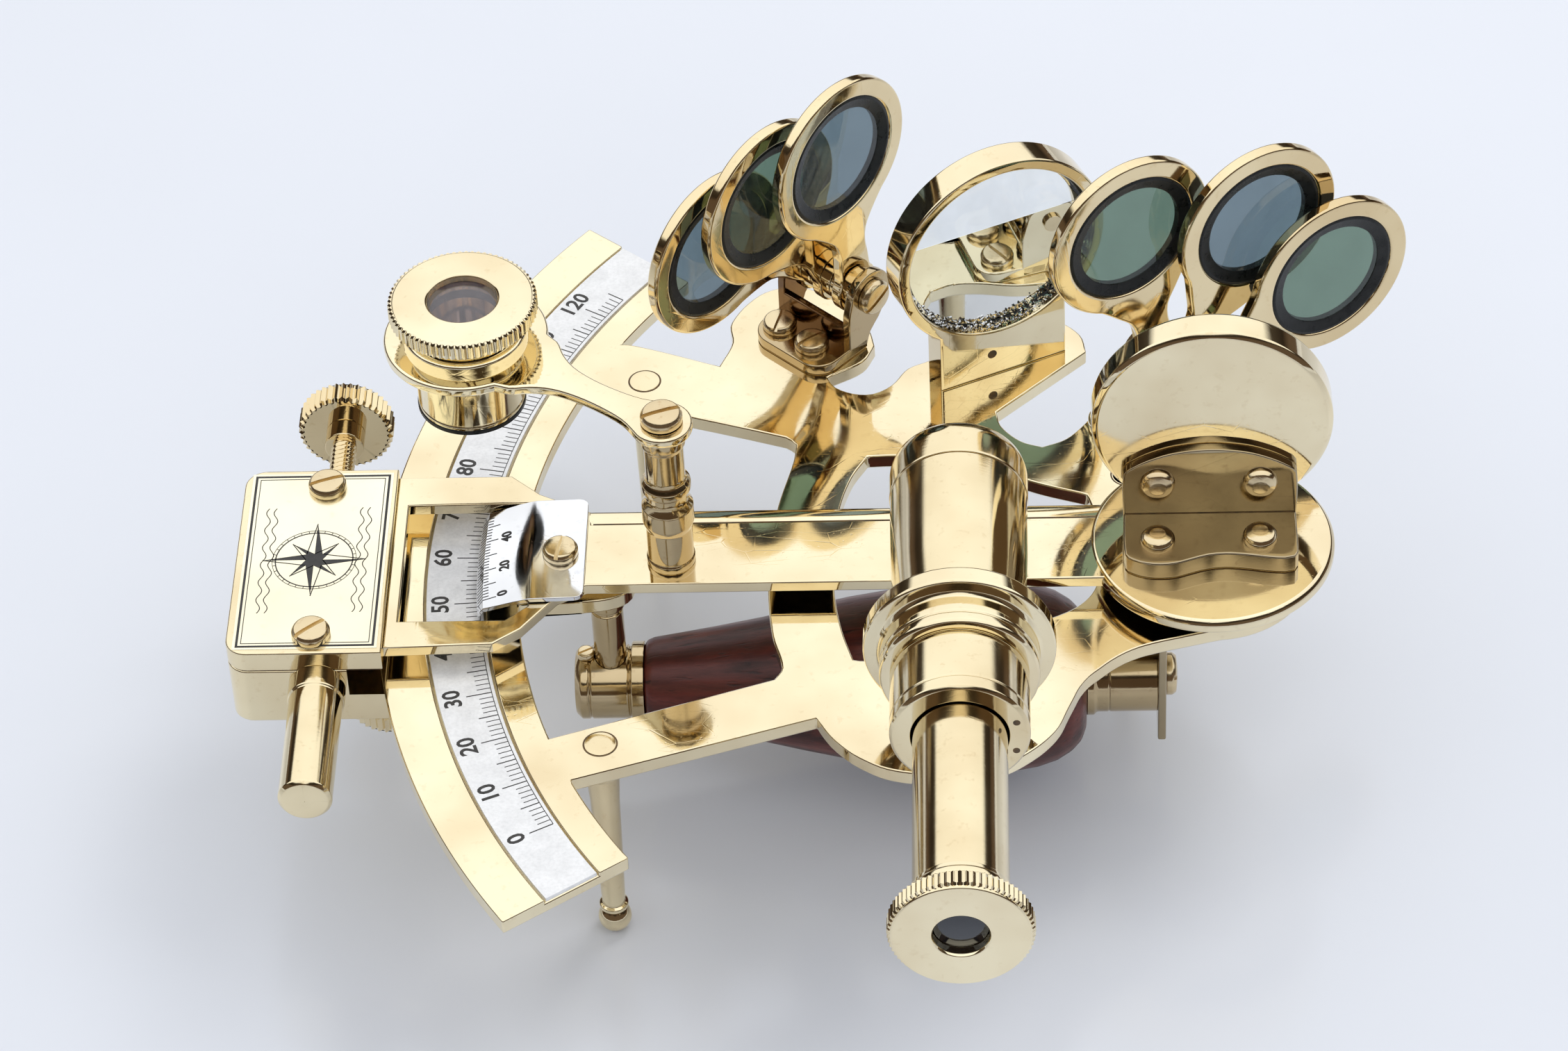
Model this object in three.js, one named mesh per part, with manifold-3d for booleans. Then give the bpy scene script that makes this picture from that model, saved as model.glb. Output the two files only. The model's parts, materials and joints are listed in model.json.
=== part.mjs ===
// Small brass nautical sextant, built as an assembly of separate pieces.
// Millimetres, +Z up. The pieces are laid out around the index arm's pivot axis:
// the frame plate's top face is z = 0, the index arm points along -X at rest,
// and the telescope looks along +Y. At the end the whole group is shifted so
// that the origin is the centre of the bounding box, on the plane of the feet.
import * as THREE from 'three';
import { mergeVertices } from 'three/addons/utils/BufferGeometryUtils.js';
import Module from 'manifold-3d';

const wasm = await Module();
wasm.setup();
const D = Math.PI / 180;

// ------------------------------------------------------------ driving dimensions
const FRAME_T = 2.0;                 // frame plate thickness
const LIMB_RO = 99.6, LIMB_RI = 82.7; // limb (arc) outer and inner radius
const LIMB_A0 = 140.7, LIMB_A1 = 215; // limb ends, degrees from +X
const SCALE_RI = 86.9, SCALE_RO = 93.7;
const BOSS_R = 8.5, BOSS_Z = 1.4;    // raised bearing boss around the pivot
const PIVOT_R = 3.1, PIVOT_BORE = 3.22;
const ARM_Z0 = 1.9, ARM_Z1 = 3.5, ARM_HALF = 6.35;
const HUB_R = 14.6, HUB_Z0 = 1.7, HUB_Z1 = 3.7;
const FOOT_Z = -30.9;                // underside of the ball feet
const SCOPE_X = -29.9, SCOPE_Z = 12.2; // telescope axis, parallel to Y
const POST = [-64.2, -2.0];          // magnifier post
const LOUPE = [-88.0, 13.9];         // magnifier lens axis at rest
const SCREW_X = -105.6, SCREW_Z = -0.8; // tangent screw axis, parallel to Y
const HANDLE_Y = -2.0, HANDLE_Z = -17.0;
const HG = { p: [-24.3, 34.4], beta: 25, ro: 13.8, ri: 12.25, zc: 19.2, t: 4.0 }; // horizon glass mount
const IDX = { p: [-2.0, 21.5], z: 8, beta: 31, e: 3.4, L: 22.1, phi: [25, 58.5, 101.5] };  // index shades, front to back
const HOR = { p: [-42.8, 42.0], z: 8, beta: 47.5, e: 3.25, L: 21.6, phi: [95, 120.7, 143] }; // horizon shades

// ------------------------------------------------------------ materials
const mat = (color, roughness, metalness, extra = {}) => new THREE.MeshStandardMaterial({ color, roughness, metalness, ...extra });
const brass = () => mat(0xd9b75f, 0.16, 1.0);
const brassSatin = () => mat(0xc9a656, 0.32, 1.0);
const silver = () => mat(0xe8e8ea, 0.18, 1.0);
const scaleWhite = () => mat(0xf2f2f0, 0.35, 0.6);
const wood = () => mat(0x4a1c1a, 0.35, 0.0);
const mirror = () => mat(0xe4e8ea, 0.03, 1.0);
const glass = (c, o) => mat(c, 0.04, 0.0, { transparent: true, opacity: o });

// ------------------------------------------------------------ solids
function solid(geometry) {
  let g = geometry.index ? geometry.toNonIndexed() : geometry.clone();
  g.deleteAttribute('normal');
  g.deleteAttribute('uv');
  g = mergeVertices(g, 1e-4);
  const p = g.attributes.position.array, idx = g.index.array, tri = [];
  let vol = 0;
  for (let i = 0; i < idx.length; i += 3) {
    const [a, b, c] = [idx[i], idx[i + 1], idx[i + 2]];
    if (a === b || b === c || a === c) continue;
    tri.push(a, b, c);
    const A = [p[3 * a], p[3 * a + 1], p[3 * a + 2]], B = [p[3 * b], p[3 * b + 1], p[3 * b + 2]], C = [p[3 * c], p[3 * c + 1], p[3 * c + 2]];
    vol += A[0] * (B[1] * C[2] - B[2] * C[1]) - A[1] * (B[0] * C[2] - B[2] * C[0]) + A[2] * (B[0] * C[1] - B[1] * C[0]);
  }
  if (vol < 0) for (let i = 0; i < tri.length; i += 3) { const t = tri[i]; tri[i] = tri[i + 1]; tri[i + 1] = t; }
  return new wasm.Manifold(new wasm.Mesh({ numProp: 3, vertProperties: new Float32Array(p), triVerts: new Uint32Array(tri) }));
}
function geometryOf(m) {
  const mesh = m.getMesh(), g = new THREE.BufferGeometry();
  g.setAttribute('position', new THREE.BufferAttribute(new Float32Array(mesh.vertProperties), 3));
  g.setIndex(new THREE.BufferAttribute(new Uint32Array(mesh.triVerts), 1));
  g.computeVertexNormals();
  return g;
}
const pts = (a) => a.map(([x, y]) => new THREE.Vector2(x, y));
const arc = (cx, cy, r, a0, a1, n) => Array.from({ length: n + 1 }, (_, i) => {
  const a = (a0 + (a1 - a0) * i / n) * D;
  return [cx + r * Math.cos(a), cy + r * Math.sin(a)];
});
const FINE = 0.7;                    // facet count scale for round pieces
const facets = (n) => Math.max(8, 2 * Math.round(n * FINE / 2));
const circle = (cx, cy, r, n = 24, a0 = 0) => arc(cx, cy, r, a0, a0 + 360, facets(n)).slice(0, -1);
// plate: outline (and holes) in the XY plane, from z0 to z1
function plate(outline, z0, z1, holes = []) {
  const s = new THREE.Shape(pts(outline));
  holes.forEach((h) => s.holes.push(new THREE.Path(pts(h))));
  const g = new THREE.ExtrudeGeometry(s, { depth: z1 - z0, bevelEnabled: false, curveSegments: 1 });
  g.translate(0, 0, z0);
  return solid(g);
}
// turned piece: profile of [radius, height] around +Z
function turned(profile, n = 24, phase = 0) {
  const g = new THREE.LatheGeometry(pts(profile), facets(n), phase * D);
  g.rotateX(Math.PI / 2);
  return solid(g);
}
// turned around an axis parallel to Y; heights are y positions
function turnedY(profile, x, z, n = 24) {
  const g = new THREE.LatheGeometry(pts(profile), facets(n));
  g.translate(x, 0, z);
  return solid(g);
}
// turned around an axis parallel to X; heights are x positions
function turnedX(profile, y, z, n = 24) {
  const g = new THREE.LatheGeometry(pts(profile.map(([r, h]) => [r, -h])), facets(n));
  g.rotateZ(Math.PI / 2);
  g.translate(0, y, z);
  return solid(g);
}
function box(x0, x1, y0, y1, z0, z1) {
  const g = new THREE.BoxGeometry(x1 - x0, y1 - y0, z1 - z0);
  g.translate((x0 + x1) / 2, (y0 + y1) / 2, (z0 + z1) / 2);
  return solid(g);
}
const moved = (m, x, y, z) => m.translate([x, y, z]);
const sum = (...m) => m.reduce((a, b) => a.add(b));
const cut = (m, ...c) => c.reduce((a, b) => a.subtract(b), m);

const model = new THREE.Group();
function add(name, m, material, parent = model, at = [0, 0, 0]) {
  const mesh = new THREE.Mesh(geometryOf(m), material);
  mesh.name = name;
  mesh.position.set(...at);
  parent.add(mesh);
  return mesh;
}
// slotted cheese-head screw standing on z = 0 with its shank going down
function screw(headR, headH, shankR, shankL, slotW = 0.6, slotD = 0.5, n = 16, angle = 0) {
  const body = turned([[0, -shankL], [shankR, -shankL], [shankR, 0], [headR, 0], [headR, headH * 0.7], [headR * 0.82, headH], [0, headH]], n);
  const slot = box(-headR - 1, headR + 1, -slotW / 2, slotW / 2, headH - slotD, headH + 1);
  return cut(body, slot).rotate([0, 0, angle]);
}

// ------------------------------------------------------------ frame
const limb = [...arc(0, 0, LIMB_RO, LIMB_A0, LIMB_A1, 20), ...arc(0, 0, LIMB_RI, LIMB_A1, LIMB_A0, 20)];
const body = [
  [-79.5, -36.9], [-46.7, -25.5],
  [-46.16, -26.67], [-45.09, -28.5], [-43.86, -30.04], [-42.44, -31.48], [-40.83, -32.68], [-39.22, -33.66], [-37.62, -34.25], [-35.66, -34.68], [-33.02, -34.89], [-30.23, -34.78], [-27.04, -34.29], [-24.47, -33.33], [-22.14, -31.65], [-20.19, -29.78], [-18.54, -27.45], [-17.45, -24.64], [-16.69, -22.72], [-16.01, -21.02], [-14.92, -19.32], [-13.67, -18.08], [-12.26, -16.72], [-10.61, -15.48], [-8.95, -14.59], [-6.65, -13.77], [-4.02, -13.06],
  ...arc(0, 0, 11.8, -86, 44, 9),
  [8.9, 12], [8.2, 18], [6.2, 24], [2.6, 29.5], [-2.2, 32.6], [-8, 32.4], [-12.2, 28.2], [-14.7, 24.4],
  [-17, 21.8], [-19.8, 20.5], [-22.4, 21.6], [-24.8, 24.4], [-25.3, 26.9],
  [-14.1, 37.8], [-14.8, 41], [-17.8, 43.8], [-22, 44.5], [-33.6, 36.7],
  [-36.3, 35.2], [-38.3, 32.2], [-40.6, 30.7], [-43, 30.8], [-45.2, 32], [-46.2, 33.8],
  [-41.9, 36.6], [-40.4, 39.6], [-41.2, 42.8], [-46.4, 49.2], [-50.6, 51.6], [-55, 49.6], [-58.4, 44.4], [-58.2, 40.6],
  [-59.7, 36.3], [-70.4, 40.4], [-79, 43.5], [-82.5, 33.6],
  [-51.2, 22.9], [-49.9, 21.6], [-50.2, 18.5], [-51.9, 10.7], [-52.7, 3], [-52.8, -4.7], [-52.1, -12], [-50.9, -17.2], [-51.8, -19.1],
  [-67.6, -24.7], [-81.5, -29.6],
];
const ringHole = [
  [-37.9, 19.3], [-41.1, 19.2], [-43, 15.5], [-44.4, 10], [-45, 3], [-44.8, -5.2], [-43.9, -11], [-42.5, -16],
  [-41, -16.2], [-36, -14.2], [-31, -13], [-24, -11.2], [-17.4, -8.5], [-14.4, -5.5], [-13.2, -1], [-13, 5], [-14.6, 11.8], [-20.6, 14], [-26, 16.8], [-31, 19],
];
const lug = [[-84.5, -6.0], [-73, -5.4], [-69.6, -4], [-68.8, -1.5], [-69.6, 1.2], [-73, 2.6], [-84.5, 3.4]];
const LEGS = [['leg_front', -71.75, -29.35], ['leg_rear', -68.9, 33.6], ['leg_right', -9.6, 15.2]];
const PILLAR_X = -72.4;

function shadeAxes(S) {
  const b = S.beta * D;
  return { u: new THREE.Vector3(Math.cos(b), Math.sin(b), 0), n: new THREE.Vector3(Math.sin(b), -Math.cos(b), 0) };
}
function onAxes(S, du, dn) {
  const { u, n } = shadeAxes(S);
  return [S.p[0] + u.x * du + n.x * dn, S.p[1] + u.y * du + n.y * dn];
}
const HB_SCREWS = [onAxes(HOR, -6.4, -1.4), onAxes(HOR, -6.4, -6.9)];

let frame = sum(plate(body, -FRAME_T, 0, [ringHole]), plate(limb, -FRAME_T, 0), plate(lug, -FRAME_T, 0), plate(circle(0, 0, BOSS_R, 28), -FRAME_T, BOSS_Z));
frame = cut(frame,
  plate(circle(0, 0, PIVOT_BORE, 28), -FRAME_T - 1, BOSS_Z + 1),
  plate([...arc(0, 0, SCALE_RO + 0.3, LIMB_A0 - 4, LIMB_A1 + 4, 20), ...arc(0, 0, SCALE_RI - 0.3, LIMB_A1 + 4, LIMB_A0 - 4, 20)], -0.6, 1),
  ...LEGS.map(([, x, y]) => plate(circle(x, y, 2.05, 14), -3, 1)),
  ...HB_SCREWS.map(([x, y]) => plate(circle(x, y, 1.15, 10), -3, 1)));
add('frame', frame, brass());

add('scale_arc', plate([...arc(0, 0, SCALE_RO, LIMB_A0 + 0.15, LIMB_A1 - 0.15, 20), ...arc(0, 0, SCALE_RI, LIMB_A1 - 0.15, LIMB_A0 + 0.15, 20)], -0.6, -0.08), scaleWhite());

// ------------------------------------------------------------ legs with ball feet
for (const [name, x, y] of LEGS) {
  const zc = FOOT_Z + 1.85;
  const head = name === 'leg_right' ? 0 : 0.12;
  const leg = turned([[0, FOOT_Z], [0.8, FOOT_Z], [1.75, zc - 1.0], [2.0, zc], [1.75, zc + 1.0], [1.35, zc + 1.5], [1.45, zc + 3], [1.75, -9], [2.0, -4.6], [3.0, -3.4], [3.0, -FRAME_T], [1.9, -FRAME_T], [1.9, head], [0, head]], 16);
  add(name, leg, brass(), model, [x, y, 0]);
}

// ------------------------------------------------------------ handle
add('handle_grip', turnedX([[0, -68.4], [4.6, -68.4], [5.2, -67.4], [6.5, -60], [7.6, -54], [8.8, -49], [9.9, -43.5], [10.8, -38], [11.5, -31], [11.7, -26], [11.4, -22.5], [10.7, -19.4], [9.6, -17.2], [8.2, -15.8], [6.2, -15.0], [0, -15.0]], HANDLE_Y, HANDLE_Z, 24), wood());
let ferruleL = turnedX([[0, -76.8], [4.0, -76.8], [4.5, -76.2], [4.5, -70.2], [4.9, -69.8], [4.9, -68.4], [0, -68.4]], HANDLE_Y, HANDLE_Z, 20);
ferruleL = cut(ferruleL, moved(plate(circle(0, 0, 2.1, 14), -3.2, 6), PILLAR_X, HANDLE_Y, HANDLE_Z), moved(plate(circle(0, 0, 0.75, 10), 0, 6), -75.4, HANDLE_Y, HANDLE_Z));
add('handle_left_ferrule', ferruleL, brass());
add('handle_left_pillar', turned([[0, HANDLE_Z - 3.2], [1.95, HANDLE_Z - 3.2], [1.95, -3.6], [2.3, -3.2], [2.3, -FRAME_T], [0, -FRAME_T]], 14), brass(), model, [PILLAR_X, HANDLE_Y, 0]);
add('handle_left_screw', screw(1.1, 0.9, 0.7, 3.0, 0.35, 0.3, 10), brassSatin(), model, [-75.4, HANDLE_Y, HANDLE_Z + 4.52]);
const plateR = cut(box(-6.4, -5.4, HANDLE_Y - 4.7, HANDLE_Y + 4.7, HANDLE_Z - 6.6, -FRAME_T - 0.5).add(box(-8.6, -3.2, HANDLE_Y - 4.7, HANDLE_Y + 4.7, -FRAME_T - 1.2, -FRAME_T)),
  turnedX([[0, -8], [1.1, -8], [1.1, -4], [0, -4]], HANDLE_Y, HANDLE_Z, 12), box(-5.96, -3, HANDLE_Y - 5.5, HANDLE_Y + 5.5, -8, 0));
add('handle_right_plate', plateR, brass());
add('handle_right_ferrule', cut(turnedX([[0, -15.0], [4.9, -15.0], [4.9, -14.0], [4.5, -13.7], [4.5, -6.4], [0, -6.4]], HANDLE_Y, HANDLE_Z, 20),
  turnedX([[0, -13], [1.1, -13], [1.1, -6], [0, -6]], HANDLE_Y, HANDLE_Z, 12)), brass());
add('handle_right_screw', cut(turnedX([[0, -12.4], [1.0, -12.4], [1.0, -5.4], [2.6, -5.4], [2.6, -4.5], [2.1, -4.1], [0, -4.1]], HANDLE_Y, HANDLE_Z, 12), box(-4.5, -3.5, HANDLE_Y - 4, HANDLE_Y + 4, HANDLE_Z - 0.25, HANDLE_Z + 0.25)), brassSatin());

// ------------------------------------------------------------ telescope
const holderOut = turnedY([[0, -31.6], [9.0, -31.6], [9.2, -31.0], [9.2, -27.6], [11.1, -27.2], [11.1, -24.6], [9.0, -24.3], [8.4, -23.6], [8.4, -22.6], [0, -22.6]], SCOPE_X, SCOPE_Z, 32);
const holderBlock = box(SCOPE_X - 3.2, SCOPE_X + 3.2, -31.4, -27.2, 0, 4.6);
// the left side of the rings is flat underneath, so the arm passes below it at the low end of the scale
const holderFlat = box(SCOPE_X - 13, SCOPE_X + 3.2, -33, -22, -1, 3.85);
add('telescope_holder', cut(cut(holderOut, holderFlat).add(holderBlock), turnedY([[0, -40], [7.78, -40], [7.78, -20], [0, -20]], SCOPE_X, SCOPE_Z, 32)), brass());
add('telescope_tube', cut(turnedY([[0, -41], [7.7, -41], [8.0, -40.6], [8.0, -32.0], [7.9, -31.7], [7.7, -31.7], [7.7, -21], [8.0, -12], [8.1, -2.2], [0, -2.2]], SCOPE_X, SCOPE_Z, 32),
  turnedY([[0, -42], [5.6, -42], [5.6, -30], [7.0, -30], [7.0, -1], [0, -1]], SCOPE_X, SCOPE_Z, 28)), brass());
add('objective_cell', cut(turnedY([[0, -5.0], [6.9, -5.0], [6.9, -2.2], [8.15, -2.2], [8.2, 1.8], [7.9, 2.8], [7.3, 3.6], [0, 3.6]], SCOPE_X, SCOPE_Z, 28),
  turnedY([[0, -6], [6.1, -6], [6.1, 5], [0, 5]], SCOPE_X, SCOPE_Z, 28)), brass());
add('objective_lens', turnedY([[0, -0.8], [5.9, -0.5], [5.9, 0.7], [4, 1.2], [0, 1.6]], SCOPE_X, SCOPE_Z, 24), glass(0xdfe9ee, 0.35));
const scope = new THREE.Group();
scope.position.set(SCOPE_X, 0, SCOPE_Z);
model.add(scope);
add('draw_tube', cut(turnedY([[0, -68.0], [5.4, -68.0], [5.4, -18], [0, -18]], 0, 0, 28), turnedY([[0, -70], [4.7, -70], [4.7, -16], [0, -16]], 0, 0, 24)), brass(), scope);
add('eyepiece_cap', cut(turnedY([[0, -71.4], [7.9, -71.4], [8.15, -71.1], [8.15, -68.9], [7.9, -68.6], [6.4, -68.4], [5.9, -67.9], [5.9, -65.6], [0, -65.6]], 0, 0, 32),
  turnedY([[0, -68.0], [5.52, -68.0], [5.52, -60], [0, -60]], 0, 0, 28), turnedY([[0, -75], [3.05, -75], [3.05, -66], [0, -66]], 0, 0, 24)), brass(), scope);
add('eyepiece_lens', turnedY([[0, -67.6], [4.3, -67.6], [4.55, -67.3], [4.55, -66.0], [0, -65.6]], 0, 0, 20), glass(0x2b2f3a, 0.7), scope);

// ------------------------------------------------------------ upright plates: local x along the plate, local y up, local z towards its front
function upright(p, z, beta) {
  const b = beta * D, g = new THREE.Group();
  g.position.set(p[0], p[1], z);
  g.quaternion.setFromRotationMatrix(new THREE.Matrix4().makeBasis(new THREE.Vector3(Math.cos(b), Math.sin(b), 0), new THREE.Vector3(0, 0, 1), new THREE.Vector3(Math.sin(b), -Math.cos(b), 0)));
  model.add(g);
  return g;
}

// horizon glass in its ring on a broad foot
const hgm = upright(HG.p, 0, HG.beta);
const hStem = 8.5, hJoin = Math.asin(hStem / HG.ro) / D;
let hMount = plate([...arc(0, HG.zc, HG.ro, -90 + hJoin, 270 - hJoin, 34), [-hStem, 0.02], [hStem, 0.02]], -HG.t, 0);
hMount = cut(hMount, plate(circle(0, HG.zc, HG.ri, 32), -HG.t + 1.0, 1), plate(circle(0, HG.zc, HG.ri - 0.9, 32), -HG.t - 1, 1));
add('horizon_mount', hMount, brass(), hgm);
add('horizon_glass', plate(circle(0, HG.zc, HG.ri - 0.25, 32), -HG.t + 1.1, -HG.t + 2.5), glass(0xdfe8ea, 0.35), hgm);

// ------------------------------------------------------------ swinging shades
function shadeSet(S, prefix, withScrews) {
  const half = S.e / 2 - 0.05, back = -(2 * S.e + half) - 0.15, front = half + 0.15, EAR = 1.2;
  const g = upright(S.p, S.z, S.beta);
  const zf = -S.z; // frame top in local height
  // bracket: foot plate, two ears, low web
  const footPlate = plate([[-1.0, -(front + EAR)], ...arc(-1.6, -(back - EAR) - 0.6, 0.6, 0, 90, 1), ...arc(-6.6, -(back - EAR) - 3, 3, 90, 180, 4), ...arc(-6.6, -(front + EAR) + 3, 3, 180, 270, 4)], zf + 0.02, zf + 1.5);
  // footPlate is drawn in (x, -z); turn it so that its thickness runs along local y
  const footTurned = footPlate.rotate([-90, 0, 0]);
  const ear = (z0, z1) => plate([[-4.0, zf + 0.02], [-1.0, zf + 0.02], [2.7, -2.2], ...arc(0, 0, 3.3, -20, 180, 7), [-4.0, -3.0]], z0, z1, [circle(0, 0, 1.42, 10)]);
  const web = box(-4.0, -3.0, zf + 0.02, zf + 4.5, back - EAR, front + EAR);
  let br = sum(footTurned, ear(front, front + EAR), ear(back - EAR, back), web);
  const sc = [-1.4, -6.9];
  if (withScrews) br = cut(br, ...sc.map((zz) => plate(circle(0, 0, 1.15, 10), -2, 12).rotate([90, 0, 0]).translate([-6.4, zf + 5, zz])));
  else br = sum(br, ...sc.map((zz) => turned([[0, 0], [2.1, 0], [2.1, 0.8], [1.7, 1.15], [0, 1.15]], 12).rotate([-90, 0, 0]).translate([-6.4, zf + 1.4, zz])));
  add(`${prefix}_shade_bracket`, br, brass(), g);
  // pivot screw through both ears
  const pin = screw(2.3, 1.2, 1.22, front - back + 2 * EAR + 0.3, 0.6, 0.5, 14, 25).translate([0, 0, front + EAR + 0.02]);
  add(`${prefix}_shade_pin`, pin, brassSatin(), g);
  S.phi.forEach((phi, i) => {
    const s = new THREE.Group();
    s.position.set(0, 0, -S.e * i);
    s.rotation.z = phi * D;
    g.add(s);
    const outline = [...arc(S.L, 0, 10.9, -148, 148, 16), [9.6, 2.35], [5.4, 2.0], ...arc(0, 0, 3.4, 42, 318, 7), [5.4, -2.0], [9.6, -2.35]];
    let sh = plate(outline, -0.8, 0.8, [circle(S.L, 0, 8.6, 24)]);
    sh = cut(sh.add(plate(circle(0, 0, 2.7, 12), -half, half)), plate(circle(0, 0, 1.42, 10), -5, 5));
    add(`${prefix}_shade_${i + 1}`, sh, brass(), s);
    const tint = prefix === 'index' ? [0x4c6a5c, 0x5c6c7a, 0x47665a][i] : [0x5f6c74, 0x3f6650, 0x586a74][i];
    add(`${prefix}_shade_glass_${i + 1}`, plate(circle(S.L, 0, 8.3, 24), -0.4, 0.55), glass(tint, 0.6), s);
  });
  return g;
}
shadeSet(HOR, 'horizon', true);
shadeSet(IDX, 'index', false);
HB_SCREWS.forEach(([x, y], i) => add(`horizon_bracket_screw_${i + 1}`, screw(2.1, 1.15, 1.0, 2.9, 0.55, 0.45, 14, 35 + 40 * i), brassSatin(), model, [x, y, 1.52]));

// ------------------------------------------------------------ index arm: hub disc, strip and the yoke around the limb
const armOutline = [
  [0, -ARM_HALF], [0, ARM_HALF], [-74.2, ARM_HALF], [-80.4, 9.6], [-84.0, 12.9], [-97.7, 12.9],
  [-97.7, -16.4], [-84.8, -16.0], [-81.6, -13.6], [-74.2, -ARM_HALF],
];
const yokeWindow = [[-81.0, 8.0], [-96.2, 7.9], [-96.2, -12.0], [-83.6, -12.0], [-81.0, -9.7]];
let arm = sum(plate(armOutline, ARM_Z0, ARM_Z1, [yokeWindow]), plate(circle(0, 0, HUB_R, 40), HUB_Z0, HUB_Z1));
arm = cut(arm, plate(circle(0, 0, 2.1, 14), 0, 3.0), plate(circle(-77.4, -1.6, 1.0, 10), 0, 6), plate(circle(POST[0], POST[1], 1.5, 12), 0, 6));
add('index_arm', arm, brass());
add('pivot_screw', cut(turned([[0, -3.9], [5.0, -3.9], [5.3, -3.5], [5.3, -2.2], [PIVOT_R, -2.2], [PIVOT_R, HUB_Z0], [2.0, HUB_Z0], [2.0, 2.95], [0, 2.95]], 28),
  box(-6, 6, -0.45, 0.45, -5, -3.2)), brassSatin());

// index mirror: cup, glass, angle bracket with set rivets
const MY = 3.0, MZ = 18.9, MR = 14.2;
add('index_mirror_cup', cut(turnedY([[0, MY], [MR - 0.4, MY], [MR, MY + 0.4], [MR, MY + 3.9], [MR - 0.3, MY + 4.1], [0, MY + 4.1]], 0, MZ, 36),
  turnedY([[0, MY + 1.6], [MR - 1.2, MY + 1.6], [MR - 1.2, MY + 5], [0, MY + 5]], 0, MZ, 36)), brass());
add('index_mirror_glass', turnedY([[0, MY + 1.6], [MR - 1.5, MY + 1.6], [MR - 1.5, MY + 3.5], [0, MY + 3.5]], 0, MZ, 32), mirror());
const leaf = [[-10.4, HUB_Z1], [10.0, HUB_Z1], [10.0, 12.6], [8.6, 13.6], [4.5, 15.4], [-0.2, 16.1], [-5, 15.4], [-9, 13.6], [-10.4, 12.6]];
const footO = [[-10.4, MY], [-10.4, -5.4], [-8.4, -6.5], [-6.2, -7.0], [-4, -6.8], [-0.6, -5.5], [2.4, -5.4], [6.4, -6.0], [9.2, -6.1], [10.0, -5.4], [10.0, MY]];
const rivet = turned([[0, 0], [2.1, 0], [2.1, 0.7], [1.6, 1.1], [0, 1.2]], 14);
const angle = sum(plate(leaf, 0, 1.3).rotate([90, 0, 0]).translate([0, MY, 0]), plate(footO, HUB_Z1, HUB_Z1 + 2.4),
  rivet.translate([-6.5, -2.8, HUB_Z1 + 2.35]), rivet.translate([5.6, -2.5, HUB_Z1 + 2.35]),
  rivet.rotate([90, 0, 0]).translate([-6.4, MY - 1.25, 11.0]), rivet.rotate([90, 0, 0]).translate([5.7, MY - 1.25, 11.0]));
add('index_mirror_bracket', angle, brass());

// vernier: flat tab with a blade sloping down to the scale, curved reading edge
const vz = ARM_Z1, vt = 0.8;
const blade = [];
{
  // cross-section slope built as a prism, then cut to the plan shape
  const sec = new THREE.Shape(pts([[-74.4, vz], [-74.4, vz + vt], [-81.0, vz + vt], [-88.6, 0.95], [-88.6, 0.35], [-88.0, 0.15], [-81.2, vz]]));
  const g = new THREE.ExtrudeGeometry(sec, { depth: 24, bevelEnabled: false });
  g.rotateX(Math.PI / 2); // x stays, section height becomes z, depth runs along -y
  g.translate(0, 12, 0);
  blade.push(solid(g));
}
const vernierPlan = plate([[-74.4, -9.2], [-74.4, 7.8], [-81.0, 8.2], ...arc(0, 0, 87.6, 173.6, 184.9, 8), [-81.4, -9.4]], -1, 8);
add('vernier_plate', cut(blade[0].intersect(vernierPlan), plate(circle(-77.4, -1.6, 1.0, 10), 0, 8), box(-98, -81.0, 7.6, 14, 1.5, 4.0)), silver());
add('vernier_screw', screw(2.15, 1.2, 0.9, 2.3, 0.6, 0.5, 16, 78), brassSatin(), model, [-77.4, -1.6, vz + vt]);

// ------------------------------------------------------------ magnifier
const LP_Z0 = 24.2, LP_Z1 = 25.6;
add('magnifier_post', cut(turned([[0, ARM_Z0 + 0.1], [1.4, ARM_Z0 + 0.1], [1.4, ARM_Z1], [2.75, ARM_Z1], [2.75, 9.4], [3.05, 10.6], [3.05, 12.4], [2.6, 13.4], [2.45, 14.6], [2.95, 15.4], [2.95, 16.1], [2.4, 16.9], [2.3, 22.2], [2.6, 23.0], [2.6, LP_Z0 - 0.1], [0, LP_Z0 - 0.1]], 18),
  plate(circle(0, 0, 1.1, 10), 18, 30)), brass(), model, [...POST, 0]);
add('magnifier_screw', screw(2.5, 1.4, 1.0, 7.2, 0.65, 0.6, 16, 20), brassSatin(), model, [...POST, LP_Z1 + 0.1]);
const loupeArm = new THREE.Group();
loupeArm.position.set(POST[0], POST[1], 0);
const LV = [LOUPE[0] - POST[0], LOUPE[1] - POST[1]], LL = Math.hypot(...LV);
loupeArm.rotation.z = Math.atan2(LV[1], LV[0]);
model.add(loupeArm);
const dogbone = [...arc(0, 0, 3.5, 65, 295, 8), [4.6, -2.0], [9, -1.75], [13, -2.0], [16.4, -3.3], [19.0, -5.2], ...arc(LL, 0, 9.8, -146, 146, 24), [19.0, 5.2], [16.4, 3.3], [13, 2.0], [9, 1.75], [4.6, 2.0]];
add('magnifier_arm', plate(dogbone, LP_Z0, LP_Z1, [circle(LL, 0, 6.62, 28), circle(0, 0, 1.25, 10)]), brass(), loupeArm);
const loupe = new THREE.Group();
loupe.position.set(LL, 0, 0);
loupeArm.add(loupe);
add('magnifier_barrel', cut(turned([[0, 15.2], [6.4, 15.2], [6.4, 27.2], [6.0, 27.4], [6.0, 29.1], [0, 29.1]], 28), turned([[0, 14], [5.6, 14], [5.6, 27.2], [4.9, 27.2], [4.9, 31], [0, 31]], 28)), brass(), loupe);
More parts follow.
